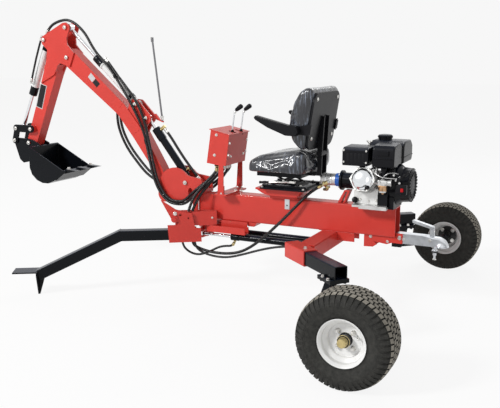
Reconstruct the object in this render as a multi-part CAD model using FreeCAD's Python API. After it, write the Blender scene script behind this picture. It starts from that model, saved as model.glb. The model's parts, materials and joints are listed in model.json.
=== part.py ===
import FreeCAD, Part
import math
import os

# Towable backhoe, built on its own wheels and one splayed front leg.
# Millimetres. X runs from the digging arm (-) to the tow coupler (+), Y across the machine
# (the operator faces -X, so -Y is the left side) and Z up from the ground.
# All construction sizes put X = 0 over the wheel spindles; export() then moves every piece by
# SHIFT_X, so that the origin is the bottom centre of the parked machine.

V = FreeCAD.Vector

# ---------------------------------------------------------------- driving dimensions
PIN_R = 12.0               # pivot pins
PIN_HEAD_R = 17.0          # round heads of the pivot pins
PIN_HEAD = 8.0             # how far a pin head stands out of its plate
FIT = 0.06                 # radial running clearance of pins and rods
SIDE_GAP = 1.0             # side play between an eye or boss and its plates
SEAT_GAP = 0.3             # pieces that rest on others
PLATE = 10.0               # thickness of the lug and link plates

# wheels
TYRE_R = 228.5
TYRE_W = 205.0
TRACK = 2146.0
RIM_R = 114.0
RIM_SEAT_R = 101.5
RIM_W = 178.0
RIM_WALL = 3.0
DISC_INSET = 62.0          # wheel disc, inboard of the rim's outer edge
HUB_R = 28.0
HUB_CAP_R = 21.0
HUB_FLANGE_R = 62.0
STUD_PCD = 101.6
SPINDLE_R = 13.0

# main beam
BEAM_W = 100.0
BEAM_H = 170.0
BEAM_WALL = 6.0
BEAM_TOP = 620.0
BEAM_FRONT = -1240.0
BEAM_REAR = -74.0
CORNER_R = 8.0
KEEL_X0, KEEL_X1 = -530.0, -313.0    # side plates that saddle the cross tube
KEEL_DROP = 51.0
KEEL_PLATE = 8.0

# axle crossmember and its telescopic arms
CROSS_W = 100.0
CROSS_H = 85.0
CROSS_X = -467.0
TUBE_WALL = 6.0
SLEEVE = 85.0
SLEEVE_LEN = 222.0
SLEEVE_START = (-568.0, 375.0)       # X and |Y| of the sleeve's rear end, on its axis
ARM_ANGLE = 40.0                     # the arms rake back from the machine's long axis
ARM_TUBE = 72.0
ARM_GAP = 0.5
ARM_OUT = 312.0                      # how far an arm stands out of its sleeve
ARM_IN = 190.0                       # and how far it goes in
CARRIER_PLATE = 10.0
CARRIER_LEN = 130.0
CARRIER_W = 110.0
SPINDLE_BAR = 45.0
SPINDLE_BAR_END = 112.0              # spindle bar's end, inboard of the wheel's middle

# front head with the king pin, the leg sockets and the leg
KING_X = -1330.0
KING_R = 22.0
HEAD_R = 44.0
HEAD_Z0, HEAD_Z1 = 432.0, 606.0
HEAD_PLATE = 12.0
WING_H = 88.0
WING_W = 60.0
LEG_SPLAY = 31.6
LEG_ORIGIN = (-1468.0, 222.0)        # X and |Y| of the point that leg distances start from
LEG_TUBE = 65.0
LEG_WALL = 5.0
LEG_TOP = 396.0
LEG_SOCKET = 77.0
LEG_BEND = 302.0                     # distance from the leg's origin to its bend
LEG_END = 815.0
LEG_SLOPE = 25.0
LEG_PLATE = 8.0

# swing post, boom and stick (X, Z of the pins with the arm as it is parked)
BOOM_FOOT = (-1592.0, 585.0)
BOOM_CYL_BASE = (-1437.0, 670.0)
BOOM_CYL_ROD = (-1746.0, 1068.0)
DIPPER_BASE = (-1829.0, 1155.0)
STICK_PIVOT = (-2357.0, 1455.0)
DIPPER_ROD = (-2359.0, 1652.0)
BUCKET_CYL_BASE = (-2548.0, 1573.0)
GUIDE_PIVOT = (-2691.0, 962.0)
LINK_PIN = (-2824.0, 963.0)
BUCKET_LINK_PIN = (-2849.0, 876.0)
BUCKET_PIVOT = (-2729.0, 862.0)
BOOM_W = 80.0
BOOM_DEPTH = 86.0
BOOM_WALL = 5.0
POST_DISC = (-1515.0, 643.0)
POST_DISC_R = 118.0
POST_PLATE = 12.0
EYE_W = 40.0
EYE_R = 24.0
STICK_W = 80.0
BUCKET_W = 300.0
BUCKET_SIDE = 8.0

# cylinders: barrel radius, bore, rod radius, closed length from the base pin to the gland's end
CYL_R = 24.0
CYL_BORE = 20.0
GLAND_R = 28.0
GLAND_LEN = 85.0
ROD_R = 12.5
BOOM_CYL_LEN = 415.0
DIPPER_CYL_LEN = 441.0
BUCKET_CYL_LEN = 413.0
SWING_CYL_R = 21.0
SWING_CYL_BORE = 17.0
SWING_ROD_R = 10.0
SWING_EYE_R = 19.0
SWING_EYE_W = 24.0
SWING_SPACING = 62.0                 # |Y| of both swing cylinders
SWING_BASE_X = -520.0
SWING_CYL_LEN = 585.0
SWING_Z = 352.0
CRANK_PLATE = 12.0

# tow end
TONGUE_HALF = 33.0                   # outer face of a tongue plate from the middle
TONGUE_PLATE = 7.0
COUPLER_X0 = -72.0
COUPLER_Z = 414.0
COUPLER_H = 58.0
BALL_X = 177.0
BALL_R = 25.4

# leg's foot
SOCKET_LEN = 172.0
PAD_LEN = 150.0
PAD_W = 112.0
FOOT_PLATE = 8.0

# seat; heights from here to the pump are measured from the beam's top
SEAT_W = 440.0
TRAY_W = 220.0
TRAY_TOP = 66.0
PAN_Z = 176.0
BACK_LOW = (-566.0, 316.0)           # X and height of the backrest's rear face, low and high
BACK_TOP = (-515.0, 640.0)
BACK_SHELL = 12.0
ARM_PIVOT = (-605.0, 428.0)

# control stand
STAND_HALF = 130.0
STAND_WALL = 4.0
LEVER_Y = (-30.0, 55.0)
PORT_Y = (-84.0, -50.0, -16.0, 18.0, 52.0, 86.0)

# engine and pump
CRANK_Z = 130.0
CASE_X0 = -300.0
CASE_X1 = -104.0
HEAD_X = -233.0
HEAD_TILT = 14.0
HEAD_R1 = 56.0
FAN_R = 116.0
FAN_Y = 0.0
TANK_X0, TANK_X1 = -248.0, -48.0
TANK_Z = 248.0
CAP_X = -180.0
BELL_X = -413.0
RING_R = 38.5
RING_LEN = 31.0
PUMP_R = 36.0
PUMP_PORT = (-514.0, -40.0, 101.0)

# marker rod, hoses
MARKER_R = 6.0
MARKER_FOOT = (-1657.0, 1049.0)
MARKER_TOP = (-1721.0, 1576.0)
HOSE_R = 8.5
THIN_HOSE_R = 6.5


# ---------------------------------------------------------------- helpers
def box(x0, x1, y0, y1, z0, z1):
    return Part.makeBox(x1 - x0, y1 - y0, z1 - z0, V(x0, y0, z0))


def rod(start, end, radius):
    start, end = V(*start), V(*end)
    return Part.makeCylinder(radius, (end - start).Length, start, end - start)


def fuse(*solids):
    shape = solids[0].multiFuse(list(solids[1:])) if len(solids) > 1 else solids[0]
    return shape.removeSplitter()


def cross_pin(point, half_width, radius=PIN_R):
    x, z = point
    return rod((x, -half_width, z), (x, half_width, z), radius)


def profile(points, y0, y1):
    """A plate: an outline of (x, z) points in the XZ plane, from y0 to y1."""
    wire = Part.makePolygon([V(x, y0, z) for x, z in points + points[:1]])
    return Part.Face(wire).extrude(V(0, y1 - y0, 0))


def plan(points, z0, z1):
    """A flat plate: an outline of (x, y) points, from z0 to z1."""
    wire = Part.makePolygon([V(x, y, z0) for x, y in points + points[:1]])
    return Part.Face(wire).extrude(V(0, 0, z1 - z0))


def hollow(points, half, wall):
    """A closed box section: an (x, z) outline, |y| up to half, with walls all round."""
    face = Part.Face(Part.makePolygon([V(x, -half, z) for x, z in points + points[:1]]))
    core = face.makeOffset2D(-wall)
    core.translate(V(0, wall, 0))
    return face.extrude(V(0, 2 * half, 0)).cut(core.extrude(V(0, 2 * (half - wall), 0)))


def disc(point, radius, y0, y1):
    x, z = point
    return rod((x, y0, z), (x, y1, z), radius)


def link(a, b, radius, y0, y1):
    """A plate with round ends about the (x, z) points a and b."""
    ax, az = a
    bx, bz = b
    length = math.hypot(bx - ax, bz - az)
    nx, nz = -(bz - az) / length * radius, (bx - ax) / length * radius
    middle = profile([(ax + nx, az + nz), (bx + nx, bz + nz), (bx - nx, bz - nz), (ax - nx, az - nz)],
                     y0, y1)
    return fuse(middle, disc(a, radius, y0, y1), disc(b, radius, y0, y1))


def both_sides(make, inner, outer):
    """The same plate on the left and on the right, from |y| = inner to outer."""
    return [make(-outer, -inner), make(inner, outer)]


def mirrored(shape):
    return shape.mirror(V(0, 0, 0), V(0, 1, 0))


def along(a, b):
    """Distance and unit direction from a to b, both (x, z)."""
    dx, dz = b[0] - a[0], b[1] - a[1]
    length = math.hypot(dx, dz)
    return length, (dx / length, dz / length)


def step(point, direction, distance):
    return (point[0] + direction[0] * distance, point[1] + direction[1] * distance)


def placed(shape, origin, turn_z=0.0, turn_y=0.0):
    """Turn a shape about its own Y, then about Z, and move its zero point to origin."""
    shape = shape.copy()
    shape.rotate(V(0, 0, 0), V(0, 1, 0), turn_y)
    shape.rotate(V(0, 0, 0), V(0, 0, 1), turn_z)
    shape.translate(V(*origin))
    return shape


def square_tube(x0, x1, width, height, wall, radius=CORNER_R):
    """A rectangular tube along X, centred on Y = 0 and Z = 0, open at both ends."""
    outer = box(x0, x1, -width / 2, width / 2, -height / 2, height / 2)
    long_edges = [e for e in outer.Edges if abs(e.BoundBox.XLength - (x1 - x0)) < 0.01]
    outer = outer.makeFillet(radius, long_edges)
    inner = box(x0 - 1, x1 + 1, -width / 2 + wall, width / 2 - wall, -height / 2 + wall, height / 2 - wall)
    return outer.cut(inner)


def section(points, x0, x1):
    """A body of one cross-section: an outline of (y, z) points, from x0 to x1."""
    wire = Part.makePolygon([V(x0, y, z) for y, z in points + points[:1]])
    return Part.Face(wire).extrude(V(x1 - x0, 0, 0))


def rounded(shape, radius, pick):
    """Round those edges of a shape for which pick(edge) holds."""
    return shape.makeFillet(radius, [e for e in shape.Edges if pick(e)])


def on_beam(shape):
    """Move a shape whose heights are measured from the beam's top into place."""
    shape = shape.copy()
    shape.translate(V(0, 0, BEAM_TOP))
    return shape


def hose(points, radius):
    """A hose along (x, y, z) points. The arc at each corner is as large as its two runs allow."""
    stops = [V(*p) for p in points]
    edges, start = [], stops[0]
    for before, corner, after in zip(stops, stops[1:], stops[2:]):
        into, out = corner - before, after - corner
        reach = 0.45 * min(into.Length, out.Length)
        into.normalize()
        out.normalize()
        half = into.getAngle(out) / 2
        bend = reach / math.tan(half)
        BENDS.append(bend)
        inward = (out - into).normalize()
        first, last = corner - into * reach, corner + out * reach
        edges.append(Part.LineSegment(start, first).toShape())
        edges.append(Part.Arc(first, corner + inward * (bend / math.cos(half) - bend), last).toShape())
        start = last
    edges.append(Part.LineSegment(start, stops[-1]).toShape())
    ring = Part.Wire([Part.makeCircle(radius, stops[0], stops[1] - stops[0])])
    return Part.Wire(edges).makePipeShell([ring], True, False)


NODES = {}
BENDS = []


def node(name, shape):
    NODES[name] = shape


# ---------------------------------------------------------------- wheels
def revolved(points):
    """A ring about the Y axis from (radius, y) points."""
    wire = Part.makePolygon([V(r, y, 0) for r, y in points + points[:1]])
    return Part.Face(wire).revolve(V(0, 0, 0), V(0, 1, 0), 360)


def tyre():
    half, shoulder = TYRE_W / 2, TYRE_W / 2 - 22
    bead = RIM_W / 2 - 10.5
    seat_r = RIM_SEAT_R + SEAT_GAP
    outline = [(seat_r, -bead), (RIM_R + 6, -bead - 6), (RIM_R + 48, -half), (TYRE_R - 34, -half),
               (TYRE_R - 9, -shoulder), (TYRE_R, -shoulder + 34), (TYRE_R, shoulder - 34),
               (TYRE_R - 9, shoulder), (TYRE_R - 34, half), (RIM_R + 48, half), (RIM_R + 6, bead + 6),
               (seat_r, bead), (seat_r, bead - 16), (RIM_R + 40, half - 18),
               (TYRE_R - 42, half - 18), (TYRE_R - 22, shoulder - 20), (TYRE_R - 22, -shoulder + 20),
               (TYRE_R - 42, -half + 18), (RIM_R + 40, -half + 18), (seat_r, -bead + 16)]
    return revolved(outline)


def rim():
    """Deep-dish rim of a left wheel: its outer face looks to -Y."""
    half, wall = RIM_W / 2, RIM_WALL
    disc_y = -half + DISC_INSET
    drop = RIM_SEAT_R - 18
    hole = HUB_R + 4
    outline = [(RIM_R, -half), (RIM_SEAT_R, -half + 10), (RIM_SEAT_R, -half + 34), (drop, -half + 48),
               (drop, half - 48), (RIM_SEAT_R, half - 34), (RIM_SEAT_R, half - 10), (RIM_R, half),
               (RIM_R - wall, half), (RIM_SEAT_R - wall, half - 11), (RIM_SEAT_R - wall, half - 33),
               (drop - wall, half - 47), (drop - wall, disc_y + 12), (drop - 12, disc_y + 4), (hole, disc_y + 4),
               (hole, disc_y), (drop - 14, disc_y), (drop - wall, disc_y + 2),
               (drop - wall, -half + 47), (RIM_SEAT_R - wall, -half + 33), (RIM_SEAT_R - wall, -half + 11),
               (RIM_R - wall, -half)]
    return revolved(outline)


def hub():
    """Hub of a left wheel: flange behind the disc, barrel through it, cap on the outside."""
    disc_y = -RIM_W / 2 + DISC_INSET
    back = disc_y + 4
    body = fuse(rod((0, back, 0), (0, back + 12, 0), HUB_FLANGE_R),
                rod((0, back - 40, 0), (0, back + 60, 0), HUB_R),
                rod((0, back - 62, 0), (0, back - 40, 0), HUB_CAP_R))
    bore = rod((0, back - 30, 0), (0, back + 70, 0), SPINDLE_R + FIT)
    nuts = []
    for i in range(4):
        angle = math.radians(45 + 90 * i)
        x, z = STUD_PCD / 2 * math.cos(angle), STUD_PCD / 2 * math.sin(angle)
        nuts.append(rod((x, disc_y - 12, z), (x, disc_y - 0.0, z), 9))
        nuts.append(rod((x, disc_y - 1, z), (x, back + 12, z), 6))
    return fuse(body, *nuts).cut(bore)


def stud_holes():
    disc_y = -RIM_W / 2 + DISC_INSET
    holes = []
    for i in range(4):
        angle = math.radians(45 + 90 * i)
        x, z = STUD_PCD / 2 * math.cos(angle), STUD_PCD / 2 * math.sin(angle)
        holes.append(rod((x, disc_y - 20, z), (x, disc_y + 20, z), 6))
    return Part.makeCompound(holes)


def wheels():
    place = (0, -TRACK / 2, TYRE_R)
    for name, shape in (("tyre", tyre()), ("rim", rim().cut(stud_holes())), ("hub", hub())):
        shape = placed(shape, place)
        node(name + "_left", shape)
        node(name + "_right", mirrored(shape))


# ---------------------------------------------------------------- beam and axle
def main_beam():
    length = BEAM_REAR - BEAM_FRONT
    tube = square_tube(0, length, BEAM_W, BEAM_H, BEAM_WALL)
    tube.translate(V(BEAM_FRONT, 0, BEAM_TOP - BEAM_H / 2))
    front = box(BEAM_FRONT, BEAM_FRONT + BEAM_WALL, -BEAM_W / 2 + 1, BEAM_W / 2 - 1,
                BEAM_TOP - BEAM_H + 1, BEAM_TOP - 1)
    bottom = BEAM_TOP - BEAM_H
    cross0, cross1 = CROSS_X - CROSS_W / 2, CROSS_X + CROSS_W / 2
    keels = both_sides(lambda y0, y1: box(cross1, KEEL_X1, y0, y1, bottom - KEEL_DROP, bottom + 2),
                       BEAM_W / 2 - KEEL_PLATE, BEAM_W / 2)
    return fuse(tube, front, *keels)


def arm_axis():
    angle = math.radians(ARM_ANGLE)
    return math.cos(angle), -math.sin(angle)


def at_arm(shape):
    """Move a shape built along X from the left sleeve's rear end into place."""
    x, y = SLEEVE_START
    return placed(shape, (x, -y, BEAM_TOP - BEAM_H - CROSS_H / 2), turn_z=-ARM_ANGLE)


def axle():
    top = BEAM_TOP - BEAM_H
    cross = square_tube(-SLEEVE_START[1] - 40, SLEEVE_START[1] + 40, CROSS_W, CROSS_H, TUBE_WALL)
    cross = placed(cross, (CROSS_X, 0, top - CROSS_H / 2), turn_z=90)
    solid = at_arm(box(0, SLEEVE_LEN, -SLEEVE / 2, SLEEVE / 2, -SLEEVE / 2, SLEEVE / 2))
    beyond = at_arm(box(-SLEEVE_LEN, 2 * SLEEVE_LEN, -3 * SLEEVE, -SLEEVE / 2, -SLEEVE, SLEEVE))
    sleeve = at_arm(square_tube(0, SLEEVE_LEN, SLEEVE, SLEEVE, TUBE_WALL, 5))
    cross = cross.cut(fuse(solid, beyond)).cut(mirrored(fuse(solid, beyond)))
    node("axle_crossmember", fuse(cross, sleeve, mirrored(sleeve), *swing_anchors(top - CROSS_H)))

    tube = square_tube(SLEEVE_LEN - ARM_IN, SLEEVE_LEN + ARM_OUT, ARM_TUBE, ARM_TUBE, 5, 6)
    arm_end = SLEEVE_LEN + ARM_OUT
    seat_z = -ARM_TUBE / 2
    seat = box(arm_end - CARRIER_LEN - 10, arm_end - 10, -CARRIER_W / 2, CARRIER_W / 2,
               seat_z - CARRIER_PLATE, seat_z + 0.5)
    arm = at_arm(fuse(tube, seat))
    node("axle_arm_left", arm)
    node("axle_arm_right", mirrored(arm))

    carrier = hub_carrier(arm_end, seat_z)
    node("hub_carrier_left", carrier)
    node("hub_carrier_right", mirrored(carrier))


def swing_anchors(under):
    """Lugs and pins below the cross tube for the swing cylinders' base eyes."""
    low = SWING_Z - SWING_EYE_W / 2 - SIDE_GAP
    back = SWING_BASE_X + SWING_EYE_R + 3
    lugs = []
    for y in (-SWING_SPACING, SWING_SPACING):
        lugs.append(box(SWING_BASE_X - 20, back + 10, y - 22, y + 22, low - 8, low))
        lugs.append(box(back, back + 10, y - 22, y + 22, low - 8, under + 1))
        lugs.append(rod((SWING_BASE_X, y, low - 12), (SWING_BASE_X, y, under + 1), PIN_R))
        lugs.append(box(SWING_BASE_X - 20, back + 10, y - 22, y + 22, under - 0.5, under + 1))
    return lugs


def hub_carrier(arm_end, seat_z):
    low_z = seat_z - CARRIER_PLATE
    flange = at_arm(box(arm_end - CARRIER_LEN - 10, arm_end - 10, -CARRIER_W / 2, CARRIER_W / 2,
                        low_z - CARRIER_PLATE, low_z))
    bolts = []
    for dx in (-CARRIER_LEN + 10, -30):
        for dy in (-CARRIER_W / 2 + 14, CARRIER_W / 2 - 14):
            bolts.append(at_arm(Part.makeCylinder(8, 8, V(arm_end + dx, dy, low_z - CARRIER_PLATE - 8))))
    x, y = SLEEVE_START
    ux, uy = arm_axis()
    middle = arm_end - 10 - CARRIER_LEN / 2
    cx, cy = x + ux * middle, -y + uy * middle
    top_z = BEAM_TOP - BEAM_H - CROSS_H / 2 + low_z - CARRIER_PLATE
    bottom_z = TYRE_R - SPINDLE_BAR / 2
    half = 32.0
    lean = (-38.0, -44.0)
    top = [V(cx - half, cy - half, top_z), V(cx + half, cy - half, top_z),
           V(cx + half, cy + half, top_z), V(cx - half, cy + half, top_z)]
    low = [p + V(lean[0], lean[1], bottom_z - top_z) for p in top]
    block = Part.makeLoft([Part.makePolygon(top + top[:1]), Part.makePolygon(low + low[:1])], True)
    start = V(cx + lean[0], cy + lean[1], TYRE_R)
    end = V(0, -TRACK / 2 + SPINDLE_BAR_END, TYRE_R)
    run = end - start
    bar = box(-half, run.Length + SPINDLE_BAR / 2, -SPINDLE_BAR / 2, SPINDLE_BAR / 2,
              -SPINDLE_BAR / 2, SPINDLE_BAR / 2)
    bar = placed(bar, start, turn_z=math.degrees(math.atan2(run.y, run.x)))
    spindle = rod((0, -TRACK / 2 + SPINDLE_BAR_END, TYRE_R), (0, -TRACK / 2 - 40, TYRE_R), SPINDLE_R)
    return fuse(flange, block, bar, spindle, *bolts)


# ---------------------------------------------------------------- front head and leg
def at_leg(shape):
    """Move a shape built along X (outwards) at the left leg's origin into place."""
    x, y = LEG_ORIGIN
    return placed(shape, (x, -y, 0), turn_z=180 + LEG_SPLAY)


def head_frame():
    beam_bottom = BEAM_TOP - BEAM_H
    housing = rod((KING_X, 0, HEAD_Z0), (KING_X, 0, HEAD_Z1), HEAD_R)
    web = box(KING_X, BEAM_FRONT + 1, -HEAD_R, HEAD_R, HEAD_Z0, HEAD_Z1)
    bore = rod((KING_X, 0, HEAD_Z0 - 5), (KING_X, 0, HEAD_Z1 + 5), KING_R + FIT)
    reach = 300.0
    wing = box(-reach, -40, -WING_W / 2, WING_W / 2, 0, WING_H)
    wing = at_leg(wing)
    wing.translate(V(0, 0, LEG_TOP + 26))
    wing = wing.cut(box(-3000, 0, 0, 500, 0, 900))
    body = fuse(housing, web, wing, mirrored(wing))
    clear = rod((KING_X, 0, HEAD_Z0 - 30), (KING_X, 0, HEAD_Z1 + 30), HEAD_R + 34)
    body = body.cut(clear.cut(fuse(housing, web)))
    body = body.cut(box(BEAM_FRONT, 0, -BEAM_W / 2, BEAM_W / 2, beam_bottom, BEAM_TOP))
    return body.cut(bore)


def leg_bracket():
    """Outer plate and square socket that hold a leg; built along the leg, outwards = +X."""
    z_mid = LEG_TOP - LEG_TUBE / 2
    half = LEG_SOCKET / 2
    socket = square_tube(-SOCKET_LEN, 0, LEG_SOCKET, LEG_SOCKET, LEG_WALL + 0.5, 5)
    socket.translate(V(0, 0, z_mid))
    outline = [(45, 588), (38, 594), (25, 577), (-45, 529), (-99, 512), (-145, 503), (-164, 410), (-199, 406),
               (-203, 321), (-1, 318), (8, 430), (-53, 430), (-61, 449), (-23, 456)]
    wire = Part.makePolygon([V(s, 0, z) for s, z in outline + outline[:1]])
    plate = Part.Face(wire).extrude(V(0, LEG_PLATE, 0))
    for s, z, radius in ((-73, 494, 8), (-122, 473, 6)):
        plate = plate.cut(rod((s, -1, z), (s, LEG_PLATE + 1, z), radius))
    boss = fuse(rod((-36, 0, 468), (-36, LEG_PLATE + 7, 468), 21), rod((-36, 0, 468), (-36, LEG_PLATE + 15, 468), 11))
    plate = fuse(plate, boss)
    plate.translate(V(0, half - 0.5, 0))
    foot = box(-150, -50, -WING_W / 2, half, z_mid + half - 1, LEG_TOP + 26)
    return at_leg(fuse(socket, plate, foot))


def leg():
    """Bent square leg, on the left side, with a flat pad beyond its end and a pointed spade below it."""
    z_mid = LEG_TOP - LEG_TUBE / 2
    slope = math.radians(LEG_SLOPE)
    half = LEG_TUBE / 2
    knee = half * math.tan(slope / 2)
    straight = square_tube(-SOCKET_LEN + 15, LEG_BEND, LEG_TUBE, LEG_TUBE, LEG_WALL, 5)
    run = (LEG_END - LEG_BEND) / math.cos(slope)
    sloping = square_tube(-2 * knee, run, LEG_TUBE, LEG_TUBE, LEG_WALL, 5)
    sloping.rotate(V(0, 0, 0), V(0, 1, 0), LEG_SLOPE)
    sloping.translate(V(LEG_BEND, 0, 0))
    corner = rod((LEG_BEND, -half + 1, 0), (LEG_BEND, half - 1, 0), half)
    end_z = -(LEG_END - LEG_BEND) * math.tan(slope)
    fold = end_z + LEG_TUBE * 0.45
    pad = box(LEG_END, LEG_END + PAD_LEN, -PAD_W / 2, PAD_W / 2, fold - FOOT_PLATE, fold)
    apron = Part.makePolygon([V(LEG_END, -PAD_W / 2, fold), V(LEG_END, PAD_W / 2, fold),
                              V(LEG_END, PAD_W / 2, fold - 30), V(LEG_END, 8, -z_mid), V(LEG_END, -8, -z_mid),
                              V(LEG_END, -PAD_W / 2, fold - 30), V(LEG_END, -PAD_W / 2, fold)])
    apron = Part.Face(apron).extrude(V(FOOT_PLATE, 0, 0))
    fin = profile([(LEG_END + FOOT_PLATE, fold), (LEG_END + FOOT_PLATE, -z_mid), (LEG_END - 4, -z_mid),
                   (LEG_END - 36, end_z - 20), (LEG_END - 26, end_z + 20)], -FOOT_PLATE / 2, FOOT_PLATE / 2)
    shape = fuse(straight, corner, sloping, pad, apron, fin)
    shape.translate(V(0, 0, z_mid))
    return at_leg(shape)


# ---------------------------------------------------------------- tow end
def tow_mount():
    """Two hooked tongue plates below the beam's end, which hold the coupler's channel."""
    low = BEAM_TOP - BEAM_H
    outline = [(BEAM_REAR - 185, low), (BEAM_REAR - 185, low - 73), (BEAM_REAR - 131, low - 70),
               (BEAM_REAR - 107, low - 53), (BEAM_REAR - 131, low - 37), (BEAM_REAR - 51, low - 47),
               (BEAM_REAR - 22, low - 36), (BEAM_REAR + 39, low - 36), (BEAM_REAR + 39, low + 22),
               (BEAM_REAR, low + 22), (BEAM_REAR, low)]
    plates = both_sides(lambda y0, y1: profile(outline, y0, y1), TONGUE_HALF - TONGUE_PLATE, TONGUE_HALF)
    top = box(BEAM_REAR - 185, BEAM_REAR - 2, -TONGUE_HALF + 2, TONGUE_HALF - 2, low - 9, low)
    return fuse(*plates, top)


def tow_coupler():
    """Pressed ball coupler: channel, domed nose with its socket, latch, handle and clamp bolt."""
    half = TONGUE_HALF - TONGUE_PLATE - SEAT_GAP
    top, low = COUPLER_Z + COUPLER_H, COUPLER_Z
    wall = 4.0
    side = [(COUPLER_X0, low), (COUPLER_X0, top), (BALL_X - 62, top), (BALL_X - 40, top - 4),
            (BALL_X - 6, top - 6), (BALL_X + 20, top - 20), (BALL_X + 36, low + 8), (BALL_X + 38, low)]
    body = profile(side, -half, half)
    body = rounded(body, 10, lambda e: e.BoundBox.YLength < 0.1 and e.BoundBox.ZMin > top - 30
                   and e.BoundBox.XMin > BALL_X - 64)
    dome = Part.makeSphere(BALL_R + 11, V(BALL_X, 0, low))
    dome = dome.cut(box(BALL_X - 100, BALL_X + 100, -100, 100, low - 100, low))
    body = fuse(body, dome, rod((BALL_X, 0, low), (BALL_X, 0, low + 3), BALL_R + 17))
    hollow_part = box(COUPLER_X0 - 1, BALL_X - 62, -half + wall, half - wall, low - 1, top - wall)
    body = body.cut(hollow_part).cut(Part.makeSphere(BALL_R + 0.4, V(BALL_X, 0, low)))
    post_x = BALL_X - 53
    latch = fuse(profile([(post_x - 12, top - 3), (post_x - 8, top + 46), (post_x + 10, top + 44),
                          (post_x + 14, top - 3)], -9, 9),
                 disc((post_x + 1, top + 45), 11, -11, 11))
    grip = [(post_x + 8, top + 38), (post_x + 10, top + 52), (post_x - 102, top + 82), (post_x - 112, top + 78),
            (post_x - 106, top + 66)]
    grip = profile(grip, -17, 17).cut(profile([(x - 2, z - 5) for x, z in grip], -14, 14))
    bolt_x = BALL_X - BALL_R - 9
    bolt = fuse(rod((bolt_x, 0, low - 74), (bolt_x, 0, low + 6), 6), rod((bolt_x, 0, low - 36), (bolt_x, 0, low - 22), 16),
                rod((bolt_x, 0, low - 52), (bolt_x, 0, low - 42), 10))
    return fuse(body, latch, grip, bolt)


# ---------------------------------------------------------------- seat


def seat():
    """Pedestal, slides, cushion, backrest with its shell and the two armrests."""
    node("seat_pedestal", on_beam(fuse(
        section([(-70, 0), (70, 0), (TRAY_W / 2, 54), (-TRAY_W / 2, 54)], -840, -660),
        profile([(-914, 54), (-880, 34), (-840, 22), (-660, 22), (-640, 34), (-628, 54)], -TRAY_W / 2 + 6,
                TRAY_W / 2 - 6),
        box(-920, -622, -TRAY_W / 2, TRAY_W / 2, 54, TRAY_TOP))))
    base = TRAY_TOP + SEAT_GAP
    pan_z = PAN_Z - SEAT_GAP
    rails = both_sides(lambda y0, y1: profile([(-868, base + 10), (-868, base + 26), (-590, base + 26),
                                               (-590, base + 10)], y0, y1), 98, 126)
    arms = both_sides(lambda y0, y1: profile([(-852, base + 18), (-640, pan_z - 12), (-618, pan_z - 12),
                                              (-828, base + 18)], y0, y1), 84, 96)
    stays = both_sides(lambda y0, y1: profile([(-650, base + 18), (-840, pan_z - 12), (-862, pan_z - 12),
                                               (-674, base + 18)], y0, y1), 72, 83)
    pan = box(-880, -600, -170, 170, pan_z - 26, pan_z)
    pan = pan.cut(box(-868, -612, -158, 158, pan_z - 27, pan_z - 6))
    node("seat_slides", on_beam(fuse(
        box(-872, -586, -150, 150, base, base + 10), *rails, *arms, *stays,
        rod((-740, -100, base + 51), (-740, 100, base + 51), 9),
        box(-866, -600, -110, 110, base + 10, base + 20), box(-866, -600, -110, 110, pan_z - 16, pan_z - 4), pan)))
    half = SEAT_W / 2
    cushion = profile([(-925, PAN_Z), (-570, PAN_Z), (-556, PAN_Z + 36), (-556, PAN_Z + 118),
                       (-600, PAN_Z + 132), (-700, PAN_Z + 112), (-860, PAN_Z + 84), (-925, PAN_Z + 66)], -half, half)
    node("seat_cushion", on_beam(rounded(cushion, 26, lambda e: e.BoundBox.ZMax > PAN_Z + 20)))
    lower, upper = V(*BACK_LOW), V(*BACK_TOP)
    back = [BACK_LOW, (-604, 318), (-650, 366), (-670, 440), (-664, 510), (-642, 582), (-604, 646), (-566, 670),
            (-530, 668), BACK_TOP]
    back = profile(back, -half + 4, half - 4)
    back = rounded(back, 22, lambda e: e.BoundBox.YLength < 1 and e.BoundBox.XMax < BACK_TOP[0] - 5)
    node("seat_backrest", on_beam(back))
    away = (upper - lower).normalize()
    normal = V(away.y, -away.x, 0)
    first, last = lower + normal * SEAT_GAP, upper + normal * SEAT_GAP
    shell = profile([(p.x, p.y) for p in (first, last, last + normal * BACK_SHELL, first + normal * BACK_SHELL)],
                    -half + 14, half - 14)
    shell = rounded(shell, 60, lambda e: abs(e.Length - BACK_SHELL) < 0.1 and e.BoundBox.YLength < 0.1)
    panel_x = -552.0
    spine = both_sides(lambda y0, y1: profile([(panel_x, 152), (panel_x, 320), (panel_x + 18, 500),
                                               (panel_x + 42, 500), (panel_x + 32, 330), (panel_x + 26, 152)],
                                              y0, y1), 34, 44)
    web = profile([(panel_x, 152), (panel_x, 320), (panel_x + 15, 480), (panel_x + 22, 480), (panel_x + 7, 318),
                   (panel_x + 7, 152)], -36, 36)
    recline = fuse(box(-600 + SEAT_GAP, panel_x + 7, -44, 44, 152, 162), disc((panel_x + 14, 282), 18, -52, 52))
    pivot = (ARM_PIVOT[0], ARM_PIVOT[1])
    brackets = both_sides(lambda y0, y1: fuse(disc(pivot, 20, y0, y1),
                                              profile([(pivot[0], pivot[1] + 20), (-524, 470), (-536, 400),
                                                       (pivot[0], pivot[1] - 20)], y0, y1)), half - 3, half + 4)
    tabs = both_sides(lambda y0, y1: profile([(-541, 410), (-533, 462), (-520, 460), (-529, 408)], y0, y1),
                      half - 24, half + 4)
    pins = both_sides(lambda y0, y1: disc(pivot, 8, y0, y1), half + 3, half + 54)
    node("seat_back_shell", on_beam(fuse(shell, *spine, web, recline, *brackets, *tabs, *pins)))
    arm = profile([(-846, 508), (-852, 496), (-842, 482), (-770, 443), (-660, 402), (-600, 400), (-584, 428),
                   (-598, 456), (-650, 462)], -half - 52, -half - 6)
    arm = rounded(arm, 7, lambda e: e.BoundBox.YLength < 1 and e.Length > 60)
    arm = on_beam(arm.cut(disc(pivot, 8 + FIT, -400, 0)))
    node("armrest_left", arm)
    node("armrest_right", mirrored(arm))


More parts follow.
